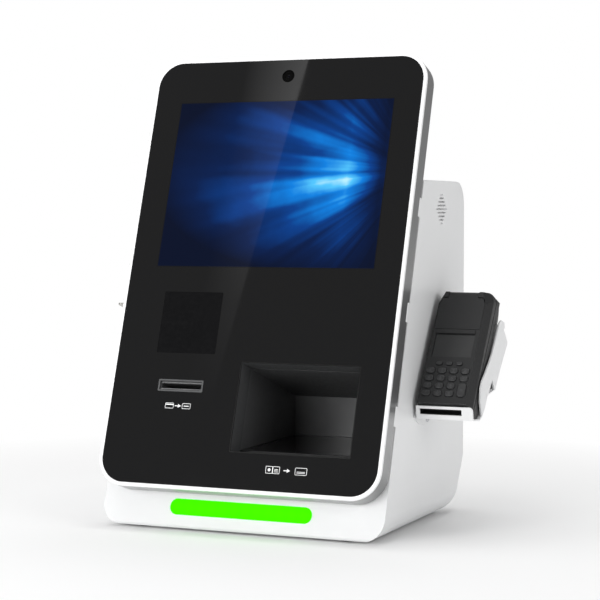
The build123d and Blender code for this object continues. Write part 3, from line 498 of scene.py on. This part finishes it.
def plate_mesh(name, outlines, place, low, high, sheet=None):
    """A thin plate over each closed outline, its ends at heights low and high of the slope."""
    bm = bmesh.new()
    for points in outlines:
        bottom = [bm.verts.new(place(x, y, low)) for x, y in points]
        top = [bm.verts.new(place(x, y, high)) for x, y in points]
        bm.faces.new(top)
        bm.faces.new(list(reversed(bottom)))
        count = len(points)
        for i in range(count):
            j = (i + 1) % count
            bm.faces.new((bottom[i], bottom[j], top[j], top[i]))
    if sheet:
        x0, x1, y0, y1 = sheet
        layer = bm.loops.layers.uv.new("sheet")
        start = place(x0, y0, 0)
        for face in bm.faces:
            for loop in face.loops:
                offset = loop.vert.co - start
                loop[layer].uv = (offset.x / (x1 - x0), offset.dot(DOOR.up) / (x1 - x0))
    mesh = bpy.data.meshes.new(name)
    bm.to_mesh(mesh)
    bm.free()
    return mesh


def ring_outline(x0, x1, y0, y1, r, width):
    """A thin frame as four plates that meet at the corners."""
    outer = rounded_outline(x0, x1, y0, y1, r, 3)
    inner = rounded_outline(x0 + width, x1 - width, y0 + width, y1 - width, max(r - width, width * 0.2), 3)
    count = len(outer)
    return [[outer[i], outer[(i + 1) % count], inner[(i + 1) % count], inner[i]] for i in range(count)]


def bar(x0, x1, y0, y1):
    """Corner points of a plain rectangle, anticlockwise."""
    return [(x0, y0), (x1, y0), (x1, y1), (x0, y1)]


def lettering(name, words, size, place, height):
    """Letters or digits as a thin solid mesh, centred on the slope point."""
    curve = bpy.data.curves.new(name + "_curve", "FONT")
    curve.body = words
    curve.size = size
    curve.align_x = "CENTER"
    curve.align_y = "CENTER"
    curve.extrude = height / 2
    holder = bpy.data.objects.new(name + "_holder", curve)
    bpy.context.scene.collection.objects.link(holder)
    mesh = bpy.data.meshes.new_from_object(holder.evaluated_get(bpy.context.evaluated_depsgraph_get()))
    bpy.data.objects.remove(holder)
    for vertex in mesh.vertices:
        vertex.co = place(vertex.co.x, vertex.co.y, vertex.co.z)
    return mesh


# ------------------------------------------------------------------ geometry nodes

def node_group(name, sizes):
    """An empty geometry tree with named float inputs, and its input and output nodes."""
    tree = bpy.data.node_groups.new(name, "GeometryNodeTree")
    sockets = {}
    for label, value in sizes.items():
        socket = tree.interface.new_socket(label, in_out="INPUT", socket_type="NodeSocketFloat")
        socket.default_value = value
        sockets[label] = socket.identifier
    tree.interface.new_socket("Geometry", in_out="OUTPUT", socket_type="NodeSocketGeometry")
    return tree, sockets, tree.nodes.new("NodeGroupInput"), tree.nodes.new("NodeGroupOutput")


def grown_mesh(name, tree, sockets, values):
    """Runs a geometry tree once and returns its result as a plain mesh."""
    holder = bpy.data.objects.new(name + "_holder", bpy.data.meshes.new(name + "_empty"))
    bpy.context.scene.collection.objects.link(holder)
    modifier = holder.modifiers.new("grow", "NODES")
    modifier.node_group = tree
    for label, value in values.items():
        modifier[sockets[label]] = value
    graph = bpy.context.evaluated_depsgraph_get()
    mesh = bpy.data.meshes.new_from_object(holder.evaluated_get(graph))
    holder.modifiers.remove(modifier)
    bpy.data.objects.remove(holder)
    mesh.name = name
    return mesh


def paint_and_end(tree, geometry, material, result):
    """Realizes a tree's instances, paints them and links them to its output."""
    whole = tree.nodes.new("GeometryNodeRealizeInstances")
    paint = tree.nodes.new("GeometryNodeSetMaterial")
    paint.inputs["Material"].default_value = material
    tree.links.new(geometry, whole.inputs["Geometry"])
    tree.links.new(whole.outputs["Geometry"], paint.inputs["Geometry"])
    tree.links.new(paint.outputs["Geometry"], result.inputs["Geometry"])


def rings_tree(material):
    """Concentric wire rings, evenly spaced from the inner radius to the outer radius."""
    sizes = {"Inner": 0.008, "Outer": 0.037, "Count": 6.0, "Wire": 0.0006}
    tree, sockets, given, result = node_group("guard_rings", sizes)
    link = tree.links.new
    line = tree.nodes.new("GeometryNodeMeshLine")
    line.mode = "OFFSET"
    line.inputs["Offset"].default_value = (0, 0, 0)
    link(given.outputs["Count"], line.inputs["Count"])
    circle = tree.nodes.new("GeometryNodeCurvePrimitiveCircle")
    circle.inputs["Resolution"].default_value = 48
    circle.inputs["Radius"].default_value = 1.0
    place = tree.nodes.new("GeometryNodeInstanceOnPoints")
    link(line.outputs["Mesh"], place.inputs["Points"])
    link(circle.outputs["Curve"], place.inputs["Instance"])
    index = tree.nodes.new("GeometryNodeInputIndex")
    spread = tree.nodes.new("ShaderNodeMapRange")
    less = tree.nodes.new("ShaderNodeMath")
    less.operation = "SUBTRACT"
    less.inputs[1].default_value = 1.0
    link(given.outputs["Count"], less.inputs[0])
    link(index.outputs["Index"], spread.inputs["Value"])
    link(less.outputs["Value"], spread.inputs["From Max"])
    link(given.outputs["Inner"], spread.inputs["To Min"])
    link(given.outputs["Outer"], spread.inputs["To Max"])
    link(spread.outputs["Result"], place.inputs["Scale"])
    loose = tree.nodes.new("GeometryNodeRealizeInstances")
    link(place.outputs["Instances"], loose.inputs["Geometry"])
    wire = tree.nodes.new("GeometryNodeCurvePrimitiveCircle")
    wire.inputs["Resolution"].default_value = 8
    link(given.outputs["Wire"], wire.inputs["Radius"])
    sweep = tree.nodes.new("GeometryNodeCurveToMesh")
    link(loose.outputs["Geometry"], sweep.inputs["Curve"])
    link(wire.outputs["Curve"], sweep.inputs["Profile Curve"])
    paint_and_end(tree, sweep.outputs["Mesh"], material, result)
    return tree, sockets


def ribs_tree(material):
    """A row of small rounded ribs along X."""
    sizes = {"Length": 0.02, "Count": 6.0, "Pitch": 0.003, "Radius": 0.0005}
    tree, sockets, given, result = node_group("cooling_ribs", sizes)
    link = tree.links.new
    step = tree.nodes.new("ShaderNodeCombineXYZ")
    link(given.outputs["Pitch"], step.inputs["Y"])
    line = tree.nodes.new("GeometryNodeMeshLine")
    line.mode = "OFFSET"
    link(given.outputs["Count"], line.inputs["Count"])
    link(step.outputs["Vector"], line.inputs["Offset"])
    half = tree.nodes.new("ShaderNodeMath")
    half.operation = "MULTIPLY"
    half.inputs[1].default_value = 0.5
    link(given.outputs["Length"], half.inputs[0])
    minus = tree.nodes.new("ShaderNodeMath")
    minus.operation = "MULTIPLY"
    minus.inputs[1].default_value = -1.0
    link(half.outputs["Value"], minus.inputs[0])
    start = tree.nodes.new("ShaderNodeCombineXYZ")
    end = tree.nodes.new("ShaderNodeCombineXYZ")
    link(minus.outputs["Value"], start.inputs["X"])
    link(half.outputs["Value"], end.inputs["X"])
    run = tree.nodes.new("GeometryNodeCurvePrimitiveLine")
    link(start.outputs["Vector"], run.inputs["Start"])
    link(end.outputs["Vector"], run.inputs["End"])
    section = tree.nodes.new("GeometryNodeCurvePrimitiveCircle")
    section.inputs["Resolution"].default_value = 10
    link(given.outputs["Radius"], section.inputs["Radius"])
    sweep = tree.nodes.new("GeometryNodeCurveToMesh")
    sweep.inputs["Fill Caps"].default_value = True
    link(run.outputs["Curve"], sweep.inputs["Curve"])
    link(section.outputs["Curve"], sweep.inputs["Profile Curve"])
    place = tree.nodes.new("GeometryNodeInstanceOnPoints")
    link(line.outputs["Mesh"], place.inputs["Points"])
    link(sweep.outputs["Mesh"], place.inputs["Instance"])
    paint_and_end(tree, place.outputs["Instances"], material, result)
    return tree, sockets


# ------------------------------------------------------------------ operators

class KIOSK_OT_finishes(bpy.types.Operator):
    """Make the finishes and put one on every CAD node"""
    bl_idname = "kiosk.finishes"
    bl_label = "Finishes"

    def execute(self, context):
        make_materials()
        slots = {row["node"]: row["material_slot"] for row in frame["record"]["subparts"]}
        for name, node in frame["nodes"].items():
            if slots[name] not in MATERIALS:
                raise RuntimeError(f"no finish for {slots[name]}")
            node.data.materials.clear()
            node.data.materials.append(MATERIALS[OWN_FINISH.get(name, slots[name])])
        return {"FINISHED"}


class KIOSK_OT_screen(bpy.types.Operator):
    """Lay the lit picture on the touch display"""
    bl_idname = "kiosk.screen"
    bl_label = "Screen picture"

    def execute(self, context):
        x0, x1, y0, y1 = window_of("touch_display", 0.05 * MM)
        margin = 0.6 * MM
        area = (x0 + margin, x1 - margin, y0 + margin, y1 - margin)
        mesh = plate_mesh("screen_picture", [bar(*area)], DOOR.place, -0.01 * MM, 0.05 * MM, area)
        new_piece("screen_picture", mesh, "screen", "door")
        return {"FINISHED"}


def window_of(node, depth):
    """x and up limits of the part of a node within a depth of the door's face."""
    points = [v.co for v in frame["nodes"][node].data.vertices]
    near = [p for p in points if p.dot(DOOR.out) - DOOR.face > -depth]
    xs = [p.x for p in near]
    ups = [p.dot(DOOR.up) - DOOR.foot for p in near]
    return min(xs), max(xs), min(ups), max(ups)


class KIOSK_OT_card_lips(bpy.types.Operator):
    """Set two guiding lips into the recess of the card bezel, above and below its mouth. Their lighter grey is a
    painted highlight for the lit edges.
    """
    bl_idname = "kiosk.card_lips"
    bl_label = "Card lips"

    def execute(self, context):
        x0, x1, low, high = window_of("card_bezel", 0.5 * MM)
        inset = 3 * MM
        apart = 4.1 * MM
        half = 0.45 * MM
        middles = [(low + high) / 2 + side * apart for side in (-1, 1)]
        bars = [bar(x0 + inset, x1 - inset, middle - half, middle + half) for middle in middles]
        mesh = plate_mesh("card_lips", bars, DOOR.place, -3.4 * MM, -1.6 * MM)
        # The lips' lighter grey is a painted highlight standing in for light caught on the slot's inner edges.
        new_piece("card_lips", mesh, "lip_plastic", "door")
        return {"FINISHED"}


class KIOSK_OT_labels(bpy.types.Operator):
    """Print a card pictogram under the card slot and a booklet pictogram under the reading bay"""
    bl_idname = "kiosk.labels"
    bl_label = "Pictograms"

    def execute(self, context):
        low, high = DOOR.span("card_bezel")
        x, up = (low[0] + high[0]) / 2, low[1] - 15.5 * MM
        signs = card_sign(x - 12 * MM, up) + arrow_sign(x, up) + slot_sign(x + 12 * MM, up)
        mesh = plate_mesh("card_pictogram", signs, DOOR.place, 0.0, 0.03 * MM)
        new_piece("card_pictogram", mesh, "label_ink", "door")
        low, high = DOOR.span("passport_surround")
        x, up = (low[0] + high[0]) / 2, low[1] - 16.0 * MM
        signs = booklet_sign(x - 19 * MM, up) + arrow_sign(x, up) + reader_sign(x + 19 * MM, up)
        mesh = plate_mesh("booklet_pictogram", signs, DOOR.place, 0.0, 0.03 * MM)
        new_piece("booklet_pictogram", mesh, "label_ink", "door")
        return {"FINISHED"}


LABEL_LINE = 0.55 * MM


def card_sign(x, up):
    """A card with its stripe."""
    sign = ring_outline(x - 6 * MM, x + 6 * MM, up - 3.6 * MM, up + 3.6 * MM, 1.1 * MM, LABEL_LINE)
    return sign + [bar(x - 6 * MM, x + 6 * MM, up + 0.9 * MM, up + 2.1 * MM)]


def arrow_sign(x, up):
    """An arrow pointing right."""
    head = [(x + 0.2 * MM, up - 2.4 * MM), (x + 4.4 * MM, up), (x + 0.2 * MM, up + 2.4 * MM)]
    return [bar(x - 4.4 * MM, x + 0.3 * MM, up - 0.5 * MM, up + 0.5 * MM), head]


def slot_sign(x, up):
    """A slot in its bezel."""
    slot = ring_outline(x - 6 * MM, x + 6 * MM, up - 3.6 * MM, up + 3.6 * MM, 1.1 * MM, LABEL_LINE)
    return slot + [bar(x - 3.6 * MM, x + 3.6 * MM, up - 0.5 * MM, up + 0.5 * MM)]


def booklet_sign(x, up):
    """An open booklet with a portrait and three lines."""
    sign = ring_outline(x - 9.5 * MM, x, up - 4.6 * MM, up + 4.6 * MM, 0.9 * MM, LABEL_LINE)
    sign += ring_outline(x, x + 9.5 * MM, up - 4.6 * MM, up + 4.6 * MM, 0.9 * MM, LABEL_LINE)
    sign += [bar(x + 2.2 * MM, x + 7.4 * MM, up + k * MM, up + k * MM + LABEL_LINE)
             for k in (-2.6, -1.0, 0.6)]
    head = 1.9 * MM
    sign.append([(x - 4.75 * MM + head * cos(a * pi / 8), up + head * sin(a * pi / 8)) for a in range(16)])
    return sign


def reader_sign(x, up):
    """A reading glass under its hood."""
    sign = ring_outline(x - 8 * MM, x + 8 * MM, up - 4.6 * MM, up + 4.6 * MM, 1.4 * MM, LABEL_LINE)
    return sign + [bar(x - 5.5 * MM, x + 5.5 * MM, up + k * MM, up + k * MM + LABEL_LINE)
                   for k in (-2.4, -0.9)]


class KIOSK_OT_legends(bpy.types.Operator):
    """Print the digits and signs on the terminal's keys"""
    bl_idname = "kiosk.legends"
    bl_label = "Key legends"

    def execute(self, context):
        keys = sorted(n for n in frame["nodes"] if n.startswith("keypad_key_"))
        if not keys:
            raise RuntimeError("the terminal has no keys")
        spans = {n: TERMINAL.span(n) for n in keys}
        rows = sorted({round(s[0][1], 5) for s in spans.values()}, reverse=True)
        columns = sorted({round(s[0][0], 4) for s in spans.values()})
        digits = {(0, 0): "1", (0, 1): "2", (0, 2): "3", (1, 0): "4", (1, 1): "5", (1, 2): "6",
                  (2, 0): "7", (2, 1): "8", (2, 2): "9", (3, 0): "*", (3, 1): "0", (3, 2): "#",
                  (0, 3): "x", (1, 3): "<", (3, 3): "o"}
        for name, (low, high) in spans.items():
            row = rows.index(round(low[1], 5))
            column = columns.index(round(low[0], 4))
            words = digits[(row, column)]
            cx, cy = (low[0] + high[0]) / 2, (low[1] + high[1]) / 2

            def place(x, up, out, cx=cx, cy=cy, top=high[2]):
                return TERMINAL.place(cx + x, cy + up, top + out)

            mesh = lettering(name + "_legend", words, 6.2 * MM, place, 0.05 * MM)
            new_piece(name + "_legend", mesh, "legend_ink", name)
        return {"FINISHED"}


class KIOSK_OT_camera_lens(bpy.types.Operator):
    """Put a coated lens and its ring into the camera hole"""
    bl_idname = "kiosk.camera_lens"
    bl_label = "Camera lens"

    def execute(self, context):
        low, high = DOOR.span("camera_module")
        hole = window_of("camera_module", 1.4 * MM)
        cx, cy = (hole[0] + hole[1]) / 2, (hole[2] + hole[3]) / 2
        profile = [(0.0, -1.15), (1.5, -1.3), (2.9, -1.75), (3.9, -2.5), (4.1, -3.0)]
        mesh = turned_mesh("camera_lens", profile, cx, cy, 40)
        new_piece("camera_lens", mesh, "lens_glass", "door")
        ring = [(4.6, -1.5), (4.9, -1.0), (5.6, -0.95), (6.3, -1.05), (6.5, -1.5)]
        mesh = turned_mesh("camera_ring", ring, cx, cy, 48, True)
        new_piece("camera_ring", mesh, "camera_black", "door")
        return {"FINISHED"}


def turned_mesh(name, profile, cx, cy, steps, closed=False):
    """A profile of (radius, out) in millimetres turned round an axis out of the door."""
    bm = bmesh.new()
    rows = []
    for r, out in profile:
        if r == 0:
            rows.append([bm.verts.new(DOOR.place(cx, cy, out * MM))])
        else:
            rows.append([bm.verts.new(DOOR.place(cx + r * MM * cos(2 * pi * i / steps),
                                                 cy + r * MM * sin(2 * pi * i / steps), out * MM))
                         for i in range(steps)])
    if closed:
        rows.append(rows[0])
    for a, b in zip(rows, rows[1:]):
        for i in range(steps):
            j = (i + 1) % steps
            if len(a) == 1:
                bm.faces.new((a[0], b[i], b[j]))
            else:
                bm.faces.new((a[i], b[i], b[j], a[j]))
    if not closed:
        bm.faces.new(list(reversed(rows[-1])))
    for face in bm.faces:
        face.smooth = True
    bmesh.ops.recalc_face_normals(bm, faces=bm.faces)
    mesh = bpy.data.meshes.new(name)
    bm.to_mesh(mesh)
    bm.free()
    return mesh


class KIOSK_OT_guard(bpy.types.Operator):
    """Grow the wire rings that guard the fan behind the rear panel"""
    bl_idname = "kiosk.guard"
    bl_label = "Fan guard"

    def execute(self, context):
        low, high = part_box("fan_frame")
        tree, sockets = rings_tree(MATERIALS["grille_wire"])
        mesh = grown_mesh("fan_guard", tree, sockets, {"Inner": 9 * MM, "Outer": 36.5 * MM, "Count": 6.0})
        centre = (low + high) / 2
        for vertex in mesh.vertices:
            x, y, z = vertex.co
            vertex.co = (centre.x + x, high.y - 1.2 * MM + z, centre.z + y)
        finish_normals(mesh)
        new_piece("fan_guard", mesh, "grille_wire", "chassis")
        return {"FINISHED"}


def finish_normals(mesh):
    """Closes doubled seams and turns the faces outwards."""
    bm = bmesh.new()
    bm.from_mesh(mesh)
    bmesh.ops.remove_doubles(bm, verts=bm.verts, dist=0.00001)
    bmesh.ops.recalc_face_normals(bm, faces=bm.faces)
    for face in bm.faces:
        face.smooth = True
    bm.to_mesh(mesh)
    bm.free()


class KIOSK_OT_fins(bpy.types.Operator):
    """Grow the cooling ribs on the power supply"""
    bl_idname = "kiosk.fins"
    bl_label = "Cooling ribs"

    def execute(self, context):
        low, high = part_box("power_supply")
        length = (high.x - low.x) * 0.8
        deep = (high.y - low.y) * 0.7
        count = 14
        sizes = {"Length": length, "Count": float(count), "Pitch": deep / (count - 1), "Radius": 0.9 * MM}
        tree, sockets = ribs_tree(MATERIALS["power_case"])
        mesh = grown_mesh("power_supply_ribs", tree, sockets, sizes)
        centre = (low + high) / 2
        for vertex in mesh.vertices:
            x, y, z = vertex.co
            vertex.co = (centre.x + x, centre.y - deep / 2 + y, high.z + z)
        finish_normals(mesh)
        new_piece("power_supply_ribs", mesh, "power_case", "chassis")
        return {"FINISHED"}


# ------------------------------------------------------------------ studio

def emission(name, colour, power):
    """A plain lit surface for the studio."""
    material = bpy.data.materials.new(name)
    material.use_nodes = True
    tree = material.node_tree
    tree.nodes.clear()
    lit = tree.nodes.new("ShaderNodeEmission")
    out = tree.nodes.new("ShaderNodeOutputMaterial")
    lit.inputs["Color"].default_value = (*colour, 1)
    lit.inputs["Strength"].default_value = power
    tree.links.new(lit.outputs["Emission"], out.inputs["Surface"])
    return material


def stage_quad(name, corners, material):
    """A flat four-cornered studio surface."""
    mesh = bpy.data.meshes.new(name)
    mesh.from_pydata([tuple(c) for c in corners], [], [(0, 1, 2, 3)])
    mesh.materials.append(material)
    made = bpy.data.objects.new(name, mesh)
    bpy.context.scene.collection.objects.link(made)


def area_light(name, power, size, location, target):
    """A soft square light aimed at a point."""
    data = bpy.data.lights.new(name, "AREA")
    data.energy = power
    data.shape = "RECTANGLE"
    data.size, data.size_y = size
    lamp = bpy.data.objects.new(name, data)
    lamp.location = location
    lamp.rotation_mode = "QUATERNION"
    lamp.rotation_quaternion = (Vector(target) - Vector(location)).to_track_quat("-Z", "Y")
    bpy.context.scene.collection.objects.link(lamp)


def camera_back():
    """Unit vector from the aim point to the camera."""
    s = stage_settings()
    return Vector((sin(s.azimuth) * cos(s.elevation), -cos(s.azimuth) * cos(s.elevation), sin(s.elevation)))


def mirrored(points, far):
    """Where a camera sees the given door points reflected to, at a distance beyond the glass."""
    s = stage_settings()
    eye = Vector(s.aim) + camera_back() * s.distance
    plane = DOOR.place(0, 0, 0)
    image = eye - DOOR.out * (2 * (eye - plane).dot(DOOR.out))
    return [p + (p - image).normalized() * far for p in points]


class KIOSK_OT_stage(bpy.types.Operator):
    """Set up the camera, lights, floor and reflected panel"""
    bl_idname = "kiosk.stage"
    bl_label = "Studio"

    def execute(self, context):
        s = stage_settings()
        scene = context.scene
        scene.view_settings.view_transform = "Standard"
        data = bpy.data.cameras.new("studio_camera")
        data.sensor_width = 36
        data.lens = s.lens
        data.clip_end = 50
        camera = bpy.data.objects.new("studio_camera", data)
        scene.collection.objects.link(camera)
        camera.location = Vector(s.aim) + camera_back() * s.distance
        camera.rotation_mode = "QUATERNION"
        camera.rotation_quaternion = (-camera_back()).to_track_quat("-Z", "Y")
        scene.camera = camera

        scene.world = self.air(s.ambient)
        wide = 6.0
        corners = [(-wide, -wide, 0), (wide, -wide, 0), (wide, wide, 0), (-wide, wide, 0)]
        stage_quad("floor", corners, self.floor_finish())
        area_light("top_light", s.top_power, (2.4, 1.8), (-0.2, 0.2, 2.3), (0, 0, 0.2))
        area_light("side_light", s.side_power, (1.2, 1.6), (-1.9, -1.4, 0.8), (0, 0, 0.3))
        area_light("fill_light", s.fill_power, (1.4, 1.6), (2.3, -0.9, 0.9), (0, 0, 0.25))
        area_light("front_light", s.front_power, (1.2, 0.8), (-0.6, -2.4, 0.7), (0, 0, 0.2))
        self.glare(s.glare_power, s.ambient)
        return {"FINISHED"}

    def air(self, ambient):
        """Even light from all round, against a white background."""
        world = bpy.data.worlds.new("studio_air")
        world.use_nodes = True
        tree = world.node_tree
        path = tree.nodes.new("ShaderNodeLightPath")
        level = tree.nodes.new("ShaderNodeMapRange")
        level.inputs["To Min"].default_value = ambient
        level.inputs["To Max"].default_value = 1.0
        tree.links.new(path.outputs["Is Camera Ray"], level.inputs["Value"])
        background = tree.nodes["Background"]
        background.inputs["Color"].default_value = (1, 1, 1, 1)
        tree.links.new(level.outputs["Result"], background.inputs["Strength"])
        return world

    def floor_finish(self):
        """White floor that turns into plain white light away from the kiosk."""
        floor = Finish("studio_floor")
        length = floor.node("ShaderNodeVectorMath", operation="LENGTH")
        floor.link(floor.coordinates, length.inputs[0])
        far = floor.remap(length.outputs["Value"], 0.0, 1.0, 0.35, 0.95)
        floor.link(floor.ramp(far, [(0.0, (0.93, 0.93, 0.93)), (1.0, (0.0, 0.0, 0.0))]),
                   floor.shader.inputs["Base Color"])
        floor.link(floor.ramp(far, [(0.0, (0.0, 0.0, 0.0)), (1.0, (1.0, 1.0, 1.0))]),
                   floor.shader.inputs["Emission Color"])
        floor.rough(0.55, 0.65, 5)
        floor.set(Specular_IOR_Level=0.0, Emission_Strength=1.0)
        return floor.material

    def glare(self, power, ambient):
        """A panel with one sharp edge, which the glass shows as a slanting reflection that fades out."""
        low, high = DOOR.span("front_glass")
        width, height = high[0] - low[0], high[1] - low[1]
        rows = 16
        beyond = 1.6
        edge, far, fade = [], [], []
        for row in range(rows + 1):
            t = row / rows
            up = (-0.05 + 1.09 * t) * height
            x = low[0] + (0.318 + 0.258 * t) * width
            edge.append(DOOR.place(x, up))
            far.append(DOOR.place(x - (26 + 64 * t) * MM, up))
            fade.append(t)
        corners = mirrored(edge, beyond) + mirrored(far, beyond)
        mesh = bpy.data.meshes.new("reflected_panel")
        faces = [(i, i + 1, i + rows + 2, i + rows + 1) for i in range(rows)]
        mesh.from_pydata([tuple(c) for c in corners], [], faces)
        layer = mesh.uv_layers.new(name="fade")
        for loop in mesh.loops:
            across = 1.0 if loop.vertex_index <= rows else 0.0
            layer.data[loop.index].uv = (across, fade[loop.vertex_index % (rows + 1)])
        mesh.materials.append(self.glare_finish(power, ambient))
        panel = bpy.data.objects.new("reflected_panel", mesh)
        panel.visible_camera = False
        panel.visible_diffuse = False
        panel.visible_shadow = False
        bpy.context.scene.collection.objects.link(panel)

    def glare_finish(self, power, ambient):
        """Brightest high up along the sharp edge, and no brighter than the room at the other."""
        material = emission("studio_panel_light", (1, 1, 1), power)
        tree = material.node_tree
        uv = tree.nodes.new("ShaderNodeUVMap")
        uv.uv_map = "fade"
        split = tree.nodes.new("ShaderNodeSeparateXYZ")
        tree.links.new(uv.outputs["UV"], split.inputs["Vector"])
        rise = tree.nodes.new("ShaderNodeValToRGB")
        room = ambient / power
        stops = [(0.22, room), (0.335, room * 1.27), (0.44, room * 1.7), (0.48, room * 2.0), (0.887, 1.0)]
        ramp = rise.color_ramp
        while len(ramp.elements) < len(stops):
            ramp.elements.new(0.5)
        for element, (place, value) in zip(ramp.elements, stops):
            element.position = place
            element.color = (value, value, value, 1)
        tree.links.new(split.outputs["Y"], rise.inputs["Fac"])
        mix = tree.nodes.new("ShaderNodeMixRGB")
        mix.inputs["Color1"].default_value = (room, room, room, 1)
        tree.links.new(split.outputs["X"], mix.inputs["Fac"])
        tree.links.new(rise.outputs["Color"], mix.inputs["Color2"])
        tree.links.new(mix.outputs["Color"], tree.nodes["Emission"].inputs["Color"])
        return material


class KIOSK_PT_panel(bpy.types.Panel):
    """Kiosk tools"""
    bl_idname = "KIOSK_PT_panel"
    bl_label = "Kiosk"
    bl_space_type = "VIEW_3D"
    bl_region_type = "UI"
    bl_category = "Kiosk"

    def draw(self, context):
        column = self.layout.column()
        for operator in OPERATORS:
            column.operator(operator.bl_idname)
        for settings in (context.scene.kiosk_finish, context.scene.kiosk_stage):
            for name in settings.__annotations__:
                column.prop(settings, name)


OPERATORS = (KIOSK_OT_finishes, KIOSK_OT_screen, KIOSK_OT_card_lips, KIOSK_OT_labels,
             KIOSK_OT_legends, KIOSK_OT_camera_lens, KIOSK_OT_guard, KIOSK_OT_fins, KIOSK_OT_stage)
CLASSES = (KioskFinish, KioskStage, *OPERATORS, KIOSK_PT_panel)


def register():
    for cls in CLASSES:
        bpy.utils.register_class(cls)
    bpy.types.Scene.kiosk_finish = bpy.props.PointerProperty(type=KioskFinish)
    bpy.types.Scene.kiosk_stage = bpy.props.PointerProperty(type=KioskStage)


def unregister():
    del bpy.types.Scene.kiosk_stage
    del bpy.types.Scene.kiosk_finish
    for cls in reversed(CLASSES):
        bpy.utils.unregister_class(cls)


def main():
    """Builds every piece and the studio."""
    register()
    for operator in OPERATORS:
        group, name = operator.bl_idname.split(".")
        getattr(getattr(bpy.ops, group), name)()


if __name__ == "__main__":
    main()
